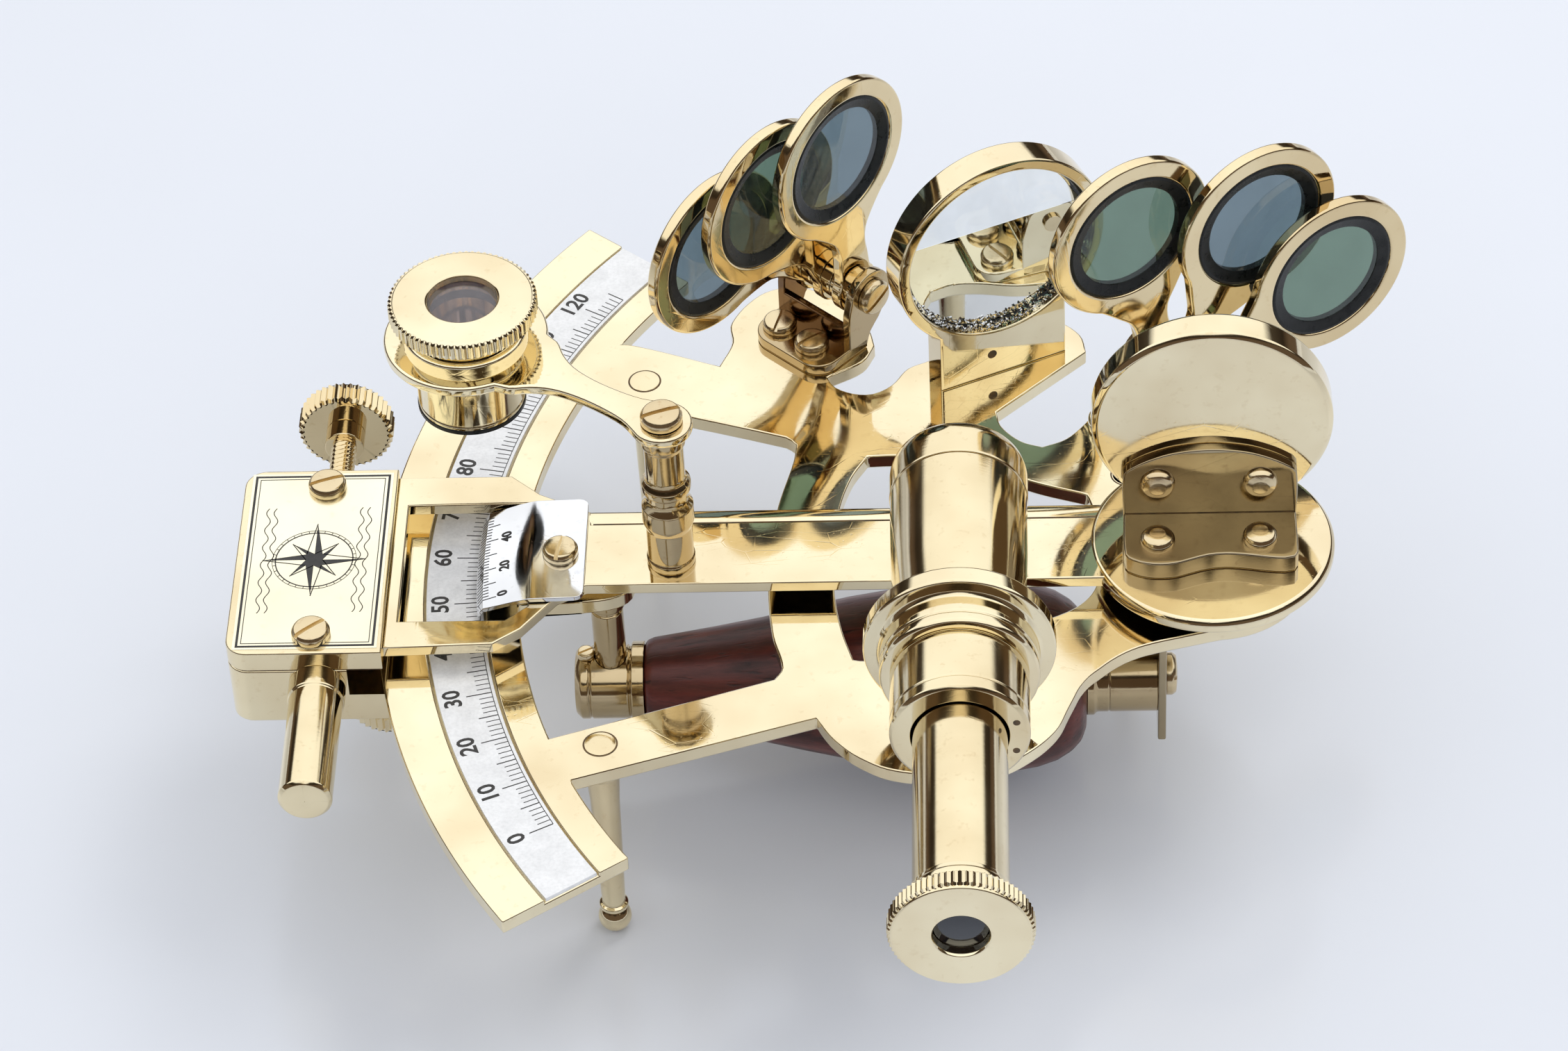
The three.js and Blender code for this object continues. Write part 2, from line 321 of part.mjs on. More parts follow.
add('magnifier_eyepiece', cut(turned([[0, 27.5], [6.8, 27.5], [6.8, 28.8], [8.5, 29.0], [8.85, 29.3], [8.85, 31.0], [8.6, 31.3], [0, 31.3]], 36), turned([[0, 26], [6.12, 26], [6.12, 29.1], [4.45, 29.1], [4.45, 32], [0, 32]], 28)), brass(), loupe);
add('magnifier_lens', turned([[0, 25.7], [5.1, 26.2], [5.1, 26.9], [0, 27.8]], 24), glass(0x8c8088, 0.5), loupe);

// ------------------------------------------------------------ tangent screw housing at the end of the arm
const BX0 = -116.2, BX1 = -97.7, BY0 = -18.3, BY1 = 13.3, BZ0 = -6.6, BZ1 = 1.7, CZ1 = 4.6, BR = 2.6;
const rounded = (x0, x1, y0, y1, r) => [[x1, y0], [x1, y1], ...arc(x0 + r, y1 - r, r, 90, 180, 4), ...arc(x0 + r, y0 + r, r, 180, 270, 4)];
let block = plate(rounded(BX0, -92.5, BY0, BY1, BR), BZ0, BZ1);
block = cut(block,
  plate(circle(0, 0, 103.6, 90), -FRAME_T - 0.35, BZ1 + 1),          // slot that the limb runs through
  box(-96.5, -90, BY0 + 12.5, BY1 + 1, BZ0 - 1, BZ1 + 1),            // jaw only at the clamp end
  turnedY([[0, BY0 - 1], [1.75, BY0 - 1], [1.75, BY1 + 1], [0, BY1 + 1]], SCREW_X, SCREW_Z, 16));
const CLAMP = [-97.4, -12.0];
block = cut(block, plate(circle(...CLAMP, 1.75, 12), -10, 0));
add('tangent_block', block, brass());
add('tangent_cover', cut(plate(rounded(BX0, BX1, BY0, BY1, BR), BZ1, CZ1), ...[[-106.1, 10.2], [-106.1, -15.2]].map(([x, y]) => plate(circle(x, y, 1.1, 10), 0, 6))), brass());
[[-106.1, 10.2, 20], [-106.1, -15.2, 40]].forEach(([x, y, a], i) => add(`cover_screw_${i + 1}`, screw(2.3, 1.25, 0.9, 2.8, 0.6, 0.5, 16, a), brassSatin(), model, [x, y, CZ1]));
add('tangent_sleeve', cut(turnedY([[0, -37.2], [3.0, -37.2], [3.35, -36.8], [3.35, BY0], [0, BY0]], SCREW_X, SCREW_Z, 20), turnedY([[0, -33], [1.8, -33], [1.8, -8], [0, -8]], SCREW_X, SCREW_Z, 16)), brass());
add('tangent_screw', turnedY([[0, -30], [1.6, -30], [1.6, -12], [1.35, -11.5], [1.35, 22.6], [2.4, 23.2], [2.4, 25.6], [5.5, 25.8], [5.85, 26.2], [5.85, 28.8], [5.5, 29.2], [0, 29.2]], SCREW_X, SCREW_Z, 28), brass());
add('clamp_screw', turned([[0, -9.7], [5.5, -9.7], [5.85, -9.3], [5.85, -7.3], [5.5, -6.95], [1.5, -6.95], [1.5, -2.3], [0, -2.3]], 28), brass(), model, [...CLAMP, 0]);

// ------------------------------------------------------------ origin: bounding-box centre on the plane of the feet
const bounds = new THREE.Box3().setFromObject(model, true);
model.position.set(-(bounds.min.x + bounds.max.x) / 2, -(bounds.min.y + bounds.max.y) / 2, -bounds.min.z);
model.updateMatrixWorld(true);
const sextant = new THREE.Group();
sextant.add(model);

export default sextant;
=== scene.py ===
import bpy, bmesh, json, math
import numpy as np
from mathutils import Matrix, Vector

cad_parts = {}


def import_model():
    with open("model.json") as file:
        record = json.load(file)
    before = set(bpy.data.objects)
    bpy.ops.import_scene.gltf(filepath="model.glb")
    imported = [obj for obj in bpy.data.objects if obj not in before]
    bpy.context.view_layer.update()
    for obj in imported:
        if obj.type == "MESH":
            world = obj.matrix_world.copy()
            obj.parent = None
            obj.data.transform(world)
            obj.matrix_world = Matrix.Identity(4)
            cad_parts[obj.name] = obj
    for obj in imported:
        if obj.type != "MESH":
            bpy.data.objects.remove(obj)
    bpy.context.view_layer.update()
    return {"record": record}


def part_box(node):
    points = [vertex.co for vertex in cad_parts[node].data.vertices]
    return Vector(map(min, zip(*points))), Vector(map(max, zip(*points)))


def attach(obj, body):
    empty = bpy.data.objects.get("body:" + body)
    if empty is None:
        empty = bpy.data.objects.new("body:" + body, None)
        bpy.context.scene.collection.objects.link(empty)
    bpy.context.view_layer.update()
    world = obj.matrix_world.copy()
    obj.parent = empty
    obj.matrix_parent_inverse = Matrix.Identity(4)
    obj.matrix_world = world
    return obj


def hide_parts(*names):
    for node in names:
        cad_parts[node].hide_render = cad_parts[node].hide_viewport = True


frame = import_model()
NODE_BODY = {n: b for b, ns in frame["record"]["behaviour"]["bodies"].items() for n in ns}

D = math.pi / 180
lo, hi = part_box("pivot_screw")
SHIFT = np.array([(lo.x + hi.x) / 2 * 1000, (lo.y + hi.y) / 2 * 1000, 30.9])  # layout origin (pivot axis, frame top) in row millimetres
COL = bpy.context.scene.collection

# ------------------------------------------------------------------ geometry helpers (millimetres, pivot at the origin)
def arc(cx, cy, r, a0, a1, n):
    a = np.radians(np.linspace(a0, a1, n + 1))
    return [(cx + r * c, cy + r * s) for c, s in zip(np.cos(a), np.sin(a))]

def circle(cx, cy, r, n=64):
    return arc(cx, cy, r, 0, 360, n)[:-1]

def smooth(poly, corner=42, step=6):
    """Closed polygon through the same points, curved between them except at sharp corners."""
    P = np.array(poly, float); n = len(P)
    turn = []
    for i in range(n):
        a = P[i] - P[i - 1]; b = P[(i + 1) % n] - P[i]
        turn.append(abs(math.degrees(math.atan2(a[0] * b[1] - a[1] * b[0], a @ b))))
    out = []
    for i in range(n):
        p1, p2 = P[i], P[(i + 1) % n]
        L = np.linalg.norm(p2 - p1)
        def tangent(k):
            if turn[k % n] > corner: return None
            v = P[(k + 1) % n] - P[k - 1 if k > 0 else n - 1]
            return v / (np.linalg.norm(v) + 1e-9) * L
        t1, t2 = tangent(i), tangent((i + 1) % n)
        if t1 is None: t1 = (p2 - p1)
        if t2 is None: t2 = (p2 - p1)
        k = max(1, min(step, int(L / 0.7)))
        for j in range(k):
            t = j / k
            out.append((2 * t**3 - 3 * t**2 + 1) * p1 + (t**3 - 2 * t**2 + t) * t1 + (-2 * t**3 + 3 * t**2) * p2 + (t**3 - t**2) * t2)
    return [tuple(p) for p in out]

def fillet(prof, r=0.25, n=3, closed=False):
    """Rounds the corners of an open profile."""
    P = [np.array(p, float) for p in prof]; out = [P[0]]
    for a, b, c in zip(P, P[1:], P[2:]):
        u, v = a - b, c - b
        lu, lv = np.linalg.norm(u), np.linalg.norm(v)
        if lu < 1e-6 or lv < 1e-6: continue
        u, v = u / lu, v / lv
        ang = math.acos(max(-1, min(1, u @ v)))
        if ang > 165 * D: out.append(b); continue
        d = min(r, 0.45 * lu, 0.45 * lv)
        s, e = b + u * d, b + v * d
        for t in np.linspace(0, 1, n + 1):
            out.append((1 - t)**2 * s + 2 * t * (1 - t) * b + t * t * e)
    out.append(P[-1])
    return out

def arrays(me):
    V = np.empty(len(me.vertices) * 3); me.vertices.foreach_get("co", V)
    return V.reshape(-1, 3), [tuple(p.vertices) for p in me.polygons]

def evaluated(o):
    bpy.context.view_layer.update()
    e = o.evaluated_get(bpy.context.evaluated_depsgraph_get()); me = e.to_mesh()
    V, F = arrays(me); e.to_mesh_clear()
    data = o.data; kind = o.type
    bpy.data.objects.remove(o)
    if kind == "MESH": bpy.data.meshes.remove(data)
    else: bpy.data.curves.remove(data)
    return V, F

def plate(outline, z0, z1, holes=(), bev=0.18, seg=2):
    cu = bpy.data.curves.new("t", "CURVE"); cu.dimensions = "2D"; cu.fill_mode = "BOTH"
    bev = min(bev, (z1 - z0) * 0.45)
    cu.extrude = (z1 - z0) / 2 - bev
    if bev: cu.bevel_depth = bev; cu.bevel_resolution = seg; cu.offset = -bev
    for poly in [outline, *holes]:
        sp = cu.splines.new("POLY"); sp.points.add(len(poly) - 1)
        co = np.ones((len(poly), 4)); co[:, :2] = poly; co[:, 2] = 0
        sp.points.foreach_set("co", co.ravel()); sp.use_cyclic_u = True
    o = bpy.data.objects.new("t", cu); COL.objects.link(o)
    V, F = evaluated(o)
    V[:, 2] += (z0 + z1) / 2
    return V, F

def lathe(prof, n=72, r=0.25, wobble=None):
    """Turned around +Z; profile of (radius, height) from axis to axis, or a closed loop for a ring."""
    P = fillet(prof, r) if r else [np.array(p, float) for p in prof]
    ring = P[0][0] > 1e-6
    if ring and np.linalg.norm(P[0] - P[-1]) < 1e-6: P = P[:-1]
    V, F, rows = [], [], []
    a = np.linspace(0, 2 * math.pi, n, endpoint=False)
    for p in P:
        if p[0] < 1e-6:
            rows.append([len(V)]); V.append((0, 0, p[1]))
        else:
            rows.append(list(range(len(V), len(V) + n)))
            rr = p[0] * np.ones(n) if wobble is None else p[0] - wobble(a, p)
            V += [(x * math.cos(t), x * math.sin(t), p[1]) for x, t in zip(rr, a)]
    pairs = list(zip(rows, rows[1:])) + ([(rows[-1], rows[0])] if ring else [])
    for A, B in pairs:
        for i in range(n):
            j = (i + 1) % n
            if len(A) == 1 and len(B) == 1: break
            if len(A) == 1: F.append((A[0], B[j], B[i]))
            elif len(B) == 1: F.append((A[i], A[j], B[0]))
            else: F.append((A[i], A[j], B[j], B[i]))
    return np.array(V, float), F

def box(x0, x1, y0, y1, z0, z1, bev=0.15):
    return plate([(x0, y0), (x1, y0), (x1, y1), (x0, y1)], z0, z1, bev=bev)

def slab(x0, x1, y0, y1, z0, z1):
    V = [(x, y, z) for x in (x0, x1) for y in (y0, y1) for z in (z0, z1)]
    return np.array(V, float), [(0, 1, 3, 2), (4, 6, 7, 5), (0, 4, 5, 1), (2, 3, 7, 6), (0, 2, 6, 4), (1, 5, 7, 3)]

def T(m, M):
    V, F = m
    M = np.array(M)
    return V @ M[:3, :3].T + M[:3, 3], F

def at(m, x=0, y=0, z=0): return T(m, Matrix.Translation((x, y, z)))
def turn(m, deg, axis="Z"): return T(m, Matrix.Rotation(deg * D, 4, axis))
def along_y(m, x=0, z=0):      # +Z of the part becomes +Y
    V, F = m
    return np.stack([V[:, 0] + x, V[:, 2], -V[:, 1] + z], 1), F
def along_x(m, y=0, z=0):      # +Z of the part becomes +X
    V, F = m
    return np.stack([V[:, 2], V[:, 1] + y, -V[:, 0] + z], 1), F

def join(*parts):
    V, F, k = [], [], 0
    for v, f in parts:
        V.append(v); F += [tuple(i + k for i in q) for q in f]; k += len(v)
    return np.concatenate(V), F

def boolean(a, *cutters, op="DIFFERENCE"):
    """Exact boolean of closed meshes."""
    def obj(m):
        me = bpy.data.meshes.new("b"); me.from_pydata([tuple(v) for v in m[0]], [], m[1])
        bm = bmesh.new(); bm.from_mesh(me); bmesh.ops.remove_doubles(bm, verts=bm.verts, dist=1e-4)
        bmesh.ops.recalc_face_normals(bm, faces=bm.faces); bm.to_mesh(me); bm.free()
        o = bpy.data.objects.new("b", me); COL.objects.link(o); return o
    o = obj(a); cs = [obj(c) for c in cutters]
    for c in cs:
        m = o.modifiers.new("b", "BOOLEAN"); m.operation = op; m.solver = "EXACT"; m.object = c
    r = evaluated(o)
    for c in cs:
        me = c.data; bpy.data.objects.remove(c); bpy.data.meshes.remove(me)
    return r

PIECES = {}
def piece(name, m, material, body=None, replaces=(), angle=32, frame_m=None, bevel=0.0, merge=True, flatten=False):
    V, F = m
    if frame_m is not None: V = V @ np.array(frame_m)[:3, :3].T + np.array(frame_m)[:3, 3]
    V = (V + SHIFT) * 0.001
    me = bpy.data.meshes.new(name); me.from_pydata([tuple(v) for v in V], [], F)
    bm = bmesh.new(); bm.from_mesh(me)
    if merge: bmesh.ops.remove_doubles(bm, verts=bm.verts, dist=1e-7)
    bmesh.ops.recalc_face_normals(bm, faces=bm.faces)
    if flatten: bmesh.ops.dissolve_limit(bm, angle_limit=0.2 * D, use_dissolve_boundaries=False, verts=bm.verts, edges=bm.edges, delimit=set())
    bm.to_mesh(me); bm.free()
    me.shade_smooth(); me.set_sharp_from_angle(angle=angle * D)
    o = bpy.data.objects.new(name, me); COL.objects.link(o)
    me.materials.append(material)
    if bevel:
        b = o.modifiers.new("edge", "BEVEL"); b.width = bevel * 0.001; b.segments = 2; b.limit_method = "ANGLE"; b.angle_limit = 40 * D; b.use_clamp_overlap = False; b.harden_normals = False
    w = o.modifiers.new("normals", "WEIGHTED_NORMAL"); w.keep_sharp = True; w.weight = 90
    if replaces: body = NODE_BODY[replaces[0]]
    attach(o, body)
    if replaces:
        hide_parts(*replaces)
    PIECES[name] = o
    return o

# ------------------------------------------------------------------ materials
def new_mat(name):
    m = bpy.data.materials.new(name); m.use_nodes = True
    nt = m.node_tree; nt.nodes.clear()
    out = nt.nodes.new("ShaderNodeOutputMaterial")
    return m, nt, out

def N(nt, kind, **kw):
    n = nt.nodes.new(kind)
    for k, v in kw.items():
        if k in n.inputs.keys(): n.inputs[k].default_value = v
        else: setattr(n, k, v)
    return n

def noise(nt, scale, detail=4, stretch=(1, 1, 1), rough=0.55):
    tc = nt.nodes.new("ShaderNodeTexCoord"); mp = nt.nodes.new("ShaderNodeMapping")
    mp.inputs["Scale"].default_value = stretch
    n = nt.nodes.new("ShaderNodeTexNoise"); n.inputs["Scale"].default_value = scale; n.inputs["Detail"].default_value = detail; n.inputs["Roughness"].default_value = rough
    nt.links.new(tc.outputs["Object"], mp.inputs["Vector"]); nt.links.new(mp.outputs[0], n.inputs["Vector"])
    return n

def ramp(nt, src, stops):
    r = nt.nodes.new("ShaderNodeValToRGB"); e = r.color_ramp.elements
    while len(e) < len(stops): e.new(0.5)
    for k, (p, c) in enumerate(stops):
        e[k].position = p; e[k].color = c if len(c) == 4 else (*c, 1)
    nt.links.new(src, r.inputs["Fac"])
    return r

def mix(nt, fac, a, b, blend="MIX"):
    m = nt.nodes.new("ShaderNodeMix"); m.data_type = "RGBA"; m.blend_type = blend
    for sock, v in ((m.inputs["Factor"], fac), (m.inputs["A"], a), (m.inputs["B"], b)):
        if hasattr(v, "links"): nt.links.new(v, sock)
        elif isinstance(v, (int, float)): sock.default_value = v
        else: sock.default_value = (*v, 1) if len(v) == 3 else v
    return m.outputs["Result"]

def metal(name, base, dark, rough=(0.05, 0.14), brush=(1, 1, 1), brush_amt=0.02, coat=0.0, patina=0.5, pit=0.02, corner=0.55):
    m, nt, out = new_mat(name)
    p = N(nt, "ShaderNodeBsdfPrincipled", Metallic=1.0)
    big = noise(nt, 55, 3); fine = noise(nt, 900, 5); streak = noise(nt, 260, 6, brush, 0.7); spots = noise(nt, 2600, 2)
    # colour: slow tone drift, tarnish freckles, and painted shade that darkens the hollows
    tone = ramp(nt, big.outputs["Fac"], [(0.35, base), (0.70, tuple(0.6 * b + 0.4 * d for b, d in zip(base, dark)))])
    freckle = ramp(nt, fine.outputs["Fac"], [(0.60, (0, 0, 0)), (0.78, (patina, patina, patina))])
    col = mix(nt, freckle.outputs["Color"], tone.outputs["Color"], dark)
    geo = nt.nodes.new("ShaderNodeNewGeometry")
    # painted shade: concave places (low pointiness) are multiplied down to 0.62 grey, weighted by corner
    edge = ramp(nt, geo.outputs["Pointiness"], [(0.40, (0.62, 0.62, 0.62)), (0.48, (1, 1, 1)), (0.56, (1.0, 1.0, 1.0))])
    col = mix(nt, corner, col, edge.outputs["Color"], "MULTIPLY")
    nt.links.new(col, p.inputs["Base Color"])
    # roughness: handling smudges over a polish
    smudge = ramp(nt, noise(nt, 120, 5).outputs["Fac"], [(0.38, (rough[0],) * 3), (0.68, (rough[1],) * 3)])
    nt.links.new(smudge.outputs["Color"], p.inputs["Roughness"])
    # micro scratches and turning marks, with a few pits
    b1 = N(nt, "ShaderNodeBump", Strength=brush_amt, Distance=0.0002)
    nt.links.new(streak.outputs["Fac"], b1.inputs["Height"])
    pits = ramp(nt, spots.outputs["Fac"], [(0.25, (0, 0, 0)), (0.34, (1, 1, 1))])
    b2 = N(nt, "ShaderNodeBump", Strength=pit, Distance=0.0001)
    nt.links.new(pits.outputs["Color"], b2.inputs["Height"]); nt.links.new(b1.outputs[0], b2.inputs["Normal"])
    # hairline scratches: thin voronoi edges, stretched
    tc = nt.nodes.new("ShaderNodeTexCoord"); mp = nt.nodes.new("ShaderNodeMapping"); mp.inputs["Scale"].default_value = (1, 3.1, 1.7); mp.inputs["Rotation"].default_value = (0.2, 0.1, 0.6)
    vo = N(nt, "ShaderNodeTexVoronoi", feature="DISTANCE_TO_EDGE"); vo.inputs["Scale"].default_value = 130
    nt.links.new(tc.outputs["Object"], mp.inputs["Vector"]); nt.links.new(mp.outputs[0], vo.inputs["Vector"])
    hair = ramp(nt, vo.outputs["Distance"], [(0.0, (0, 0, 0)), (0.012, (1, 1, 1))])
    b3 = N(nt, "ShaderNodeBump", Strength=pit * 0.8, Distance=0.0001)
    nt.links.new(hair.outputs["Color"], b3.inputs["Height"]); nt.links.new(b2.outputs[0], b3.inputs["Normal"])
    nt.links.new(b3.outputs[0], p.inputs["Normal"])
    if coat:
        p.inputs["Coat Weight"].default_value = coat; p.inputs["Coat Roughness"].default_value = 0.06
    nt.links.new(p.outputs[0], out.inputs["Surface"])
    return m

BRASS_C, BRASS_D = (0.90, 0.80, 0.56), (0.50, 0.33, 0.14)
BRASS = metal("brass_polished", BRASS_C, BRASS_D, (0.035, 0.10), (1, 1, 1), 0.012, coat=0.12, patina=0.22)
BRASS_T = metal("brass_turned", (0.87, 0.765, 0.52), BRASS_D, (0.05, 0.12), (1, 14, 1), 0.03, coat=0.08, patina=0.3)
BRASS_S = metal("brass_screws", (0.77, 0.655, 0.43), (0.40, 0.22, 0.08), (0.14, 0.28), (3, 3, 3), 0.08, patina=0.45, pit=0.05)
BRASS_FLAT = metal("brass_flat", BRASS_C, BRASS_D, (0.035, 0.10), (1, 1, 1), 0.012, coat=0.12, patina=0.22, corner=0.0)
BRASS_GOLD = metal("brass_golden", (0.82, 0.685, 0.43), BRASS_D, (0.04, 0.11), (1, 1, 1), 0.014, coat=0.1, patina=0.3)
# painted shade: a dark brown copy of the brass for parts that sit in shadow
BRASS_SHADE_BROWN = metal("brass_painted_shade_brown", (0.21, 0.125, 0.065), (0.10, 0.05, 0.025), (0.10, 0.26), (1, 1, 1), 0.03, patina=0.4)
BRASS_DARK = metal("brass_darkened", (0.44, 0.365, 0.235), (0.20, 0.13, 0.07), (0.08, 0.2), (1, 1, 1), 0.02, coat=0.1, patina=0.4)
# darker brass: partly age, partly painted shade standing in for the dark surroundings these parts reflect
BRASS_AGED_SHADED = metal("brass_aged_and_painted_shade", (0.58, 0.465, 0.28), (0.28, 0.17, 0.07), (0.06, 0.15), (1, 10, 1), 0.03, coat=0.08, patina=0.4)
SILVER = metal("silver_plate", (0.86, 0.87, 0.89), (0.45, 0.45, 0.48), (0.04, 0.12), (1, 1, 1), 0.015, patina=0.3)
MIRROR = metal("mirror_silvering", (0.90, 0.92, 0.92), (0.60, 0.62, 0.62), (0.012, 0.04), (1, 1, 1), 0.004, patina=0.08, pit=0.004)

def dielectric(name, base, dark, rough, scale=300, bump=0.05, coat=0.0, spec=0.5, stretch=(1, 1, 1), metallic=0.0):
    m, nt, out = new_mat(name)
    p = N(nt, "ShaderNodeBsdfPrincipled", Metallic=metallic)
    p.inputs["Specular IOR Level"].default_value = spec
    a = noise(nt, scale, 5, stretch); b = noise(nt, scale * 5, 4)
    c = ramp(nt, a.outputs["Fac"], [(0.32, dark), (0.62, base)])
    c2 = ramp(nt, b.outputs["Fac"], [(0.30, (0.90, 0.90, 0.90)), (0.60, (1, 1, 1))])
    nt.links.new(mix(nt, 1.0, c.outputs["Color"], c2.outputs["Color"], "MULTIPLY"), p.inputs["Base Color"])
    r = ramp(nt, a.outputs["Fac"], [(0.3, (rough[0],) * 3), (0.7, (rough[1],) * 3)])
    nt.links.new(r.outputs["Color"], p.inputs["Roughness"])
    bp = N(nt, "ShaderNodeBump", Strength=bump, Distance=0.0002); nt.links.new(b.outputs["Fac"], bp.inputs["Height"]); nt.links.new(bp.outputs[0], p.inputs["Normal"])
    p.inputs["Coat Weight"].default_value = coat
    nt.links.new(p.outputs[0], out.inputs["Surface"])
    return m

SCALE = dielectric("scale_silvered", (0.90, 0.90, 0.90), (0.80, 0.80, 0.80), (0.30, 0.42), 500, 0.04, metallic=0.25)
INK = dielectric("graduation_black", (0.035, 0.032, 0.03), (0.012, 0.011, 0.01), (0.35, 0.5), 900, 0.05)
BLACK = dielectric("blackened_rim", (0.016, 0.017, 0.017), (0.006, 0.007, 0.007), (0.22, 0.38), 700, 0.06, spec=0.22)
# dark brown for tarnished joint lines, also used as painted shade in holes and creases
SEAM_AND_SHADE = dielectric("tarnish_seam_and_painted_shade", (0.16, 0.09, 0.03), (0.05, 0.03, 0.012), (0.4, 0.6), 1200, 0.1)
LABEL = metal("label_brass_pale", (0.97, 0.92, 0.72), (0.75, 0.62, 0.36), (0.16, 0.26), (6, 1, 1), 0.02, patina=0.2)

def wood():
    m, nt, out = new_mat("mahogany")
    p = N(nt, "ShaderNodeBsdfPrincipled")
    ring = noise(nt, 70, 6, (0.25, 3, 3), 0.6); grain = noise(nt, 420, 6, (0.06, 1, 1), 0.75); pores = noise(nt, 1600, 3, (0.05, 1, 1), 0.5)
    c = ramp(nt, ring.outputs["Fac"], [(0.28, (0.030, 0.006, 0.004)), (0.50, (0.100, 0.017, 0.011)), (0.72, (0.165, 0.032, 0.02))])
    g = ramp(nt, grain.outputs["Fac"], [(0.36, (0.45, 0.42, 0.42)), (0.60, (1, 1, 1))])
    q = ramp(nt, pores.outputs["Fac"], [(0.30, (0.25, 0.2, 0.2)), (0.40, (1, 1, 1))])
    col = mix(nt, 0.85, c.outputs["Color"], g.outputs["Color"], "MULTIPLY")
    col = mix(nt, 0.8, col, q.outputs["Color"], "MULTIPLY")
    nt.links.new(col, p.inputs["Base Color"])
    r = ramp(nt, grain.outputs["Fac"], [(0.3, (0.45,) * 3), (0.7, (0.28,) * 3)]); nt.links.new(r.outputs["Color"], p.inputs["Roughness"])
    b = N(nt, "ShaderNodeBump", Strength=0.25, Distance=0.0002); nt.links.new(grain.outputs["Fac"], b.inputs["Height"])
    b2 = N(nt, "ShaderNodeBump", Strength=0.3, Distance=0.0001); nt.links.new(q.outputs["Color"], b2.inputs["Height"]); nt.links.new(b.outputs[0], b2.inputs["Normal"]); nt.links.new(b2.outputs[0], p.inputs["Normal"])
    p.inputs["Specular IOR Level"].default_value = 0.35
    p.inputs["Coat Weight"].default_value = 0.12; p.inputs["Coat Roughness"].default_value = 0.25
    nt.links.new(p.outputs[0], out.inputs["Surface"])
    return m
WOOD = wood()

def glass(name, tint, gloss=1.0, haze=0.0, ior=1.5):
    """Thin tinted glass: coloured see-through with a sharp surface reflection, faint wipe marks and dust."""
    m, nt, out = new_mat(name)
    tr = nt.nodes.new("ShaderNodeBsdfTransparent"); gl = N(nt, "ShaderNodeBsdfGlossy", Roughness=0.02)
    gl.inputs["Color"].default_value = (0.95, 0.97, 1.0, 1)
    n = noise(nt, 180, 4, (1, 2, 1))
    t = ramp(nt, n.outputs["Fac"], [(0.3, tuple(x * 0.93 for x in tint)), (0.7, tint)])
    nt.links.new(t.outputs["Color"], tr.inputs["Color"])
    r = ramp(nt, noise(nt, 400, 5).outputs["Fac"], [(0.4, (0.01,) * 3), (0.75, (0.07,) * 3)]); nt.links.new(r.outputs["Color"], gl.inputs["Roughness"])
    fr = N(nt, "ShaderNodeFresnel", IOR=ior)
    ge = nt.nodes.new("ShaderNodeNewGeometry"); inv = N(nt, "ShaderNodeMath", operation="SUBTRACT"); inv.inputs[0].default_value = 1.0; nt.links.new(ge.outputs["Backfacing"], inv.inputs[1])
    ff = N(nt, "ShaderNodeMath", operation="MULTIPLY"); nt.links.new(fr.outputs[0], ff.inputs[0]); nt.links.new(inv.outputs[0], ff.inputs[1])
    mx = nt.nodes.new("ShaderNodeMixShader"); nt.links.new(ff.outputs[0], mx.inputs[0]); nt.links.new(tr.outputs[0], mx.inputs[1]); nt.links.new(gl.outputs[0], mx.inputs[2])
    last = mx
    if haze:
        df = N(nt, "ShaderNodeBsdfDiffuse", Color=(*[min(1, x * 1.2) for x in tint], 1)); m2 = nt.nodes.new("ShaderNodeMixShader")
        h = ramp(nt, noise(nt, 700, 5).outputs["Fac"], [(0.35, (haze * 0.6,) * 3), (0.75, (haze,) * 3)])
        nt.links.new(h.outputs["Color"], m2.inputs[0]); nt.links.new(mx.outputs[0], m2.inputs[1]); nt.links.new(df.outputs[0], m2.inputs[2]); last = m2
    nt.links.new(last.outputs[0], out.inputs["Surface"])
    return m
G_CLEAR = glass("glass_clear", (0.97, 0.985, 0.985))
G_LENS = glass("glass_objective", (0.72, 0.80, 0.84), haze=0.03)
G_LOUPE = glass("glass_loupe", (0.50, 0.44, 0.47), haze=0.12, ior=1.7)
G_DARK = glass("glass_eye", (0.10, 0.11, 0.16), haze=0.08, ior=1.8)
G_GREEN = glass("glass_green", (0.40, 0.50, 0.435), haze=0.06)
G_GREY = glass("glass_grey", (0.40, 0.475, 0.51), haze=0.06)

# ------------------------------------------------------------------ small repeated parts
def screw_head(r, h, slot_w=0.5, slot_d=0.45, ang=0, dome=0.0, shank=0.0):
    prof = [(0, -0.3), (r * 0.55, -0.3), (r * 0.6, 0), (r, 0.02), (r, h * 0.62), (r * 0.86, h), (r * 0.4, h + dome), (0, h + dome)]
    if shank: prof = [(0, -shank), (r * 0.5, -shank), (r * 0.5, 0)] + prof[3:]
    b = lathe(prof, 40, 0.16)
    b = boolean(b, slab(-r - 1, r + 1, -slot_w / 2, slot_w / 2, h + dome - slot_d, h + 2))
    return turn(b, ang)

def rivet_head(r, h):
    return lathe([(0, -0.2), (r, -0.2), (r, h * 0.25), (r * 0.85, h * 0.7), (r * 0.5, h * 0.95), (0, h)], 36, 0.15)

def knurled(r, z0, z1, teeth, depth=0.28, cone=0.45, bore=0.0, inner=()):
    """Disc with straight knurling on its rim and chamfered edges."""
    n = teeth * 6
    prof = [(0, z0), (r - cone - 0.2, z0), (r - cone, z0), (r, z0 + cone), (r, z1 - cone), (r - cone, z1), (r - cone - 0.2, z1), (0, z1)]
    if bore: prof = [(bore, z0)] + prof[1:-1] + [(bore, z1), (bore, z0)]
    def w(a, p):
        f = 1.0 if p[0] > r - cone - 0.02 else 0.0
        return f * depth * (0.5 - 0.5 * np.cos(a * teeth)) ** 0.7
    return lathe(prof, n, 0, w)

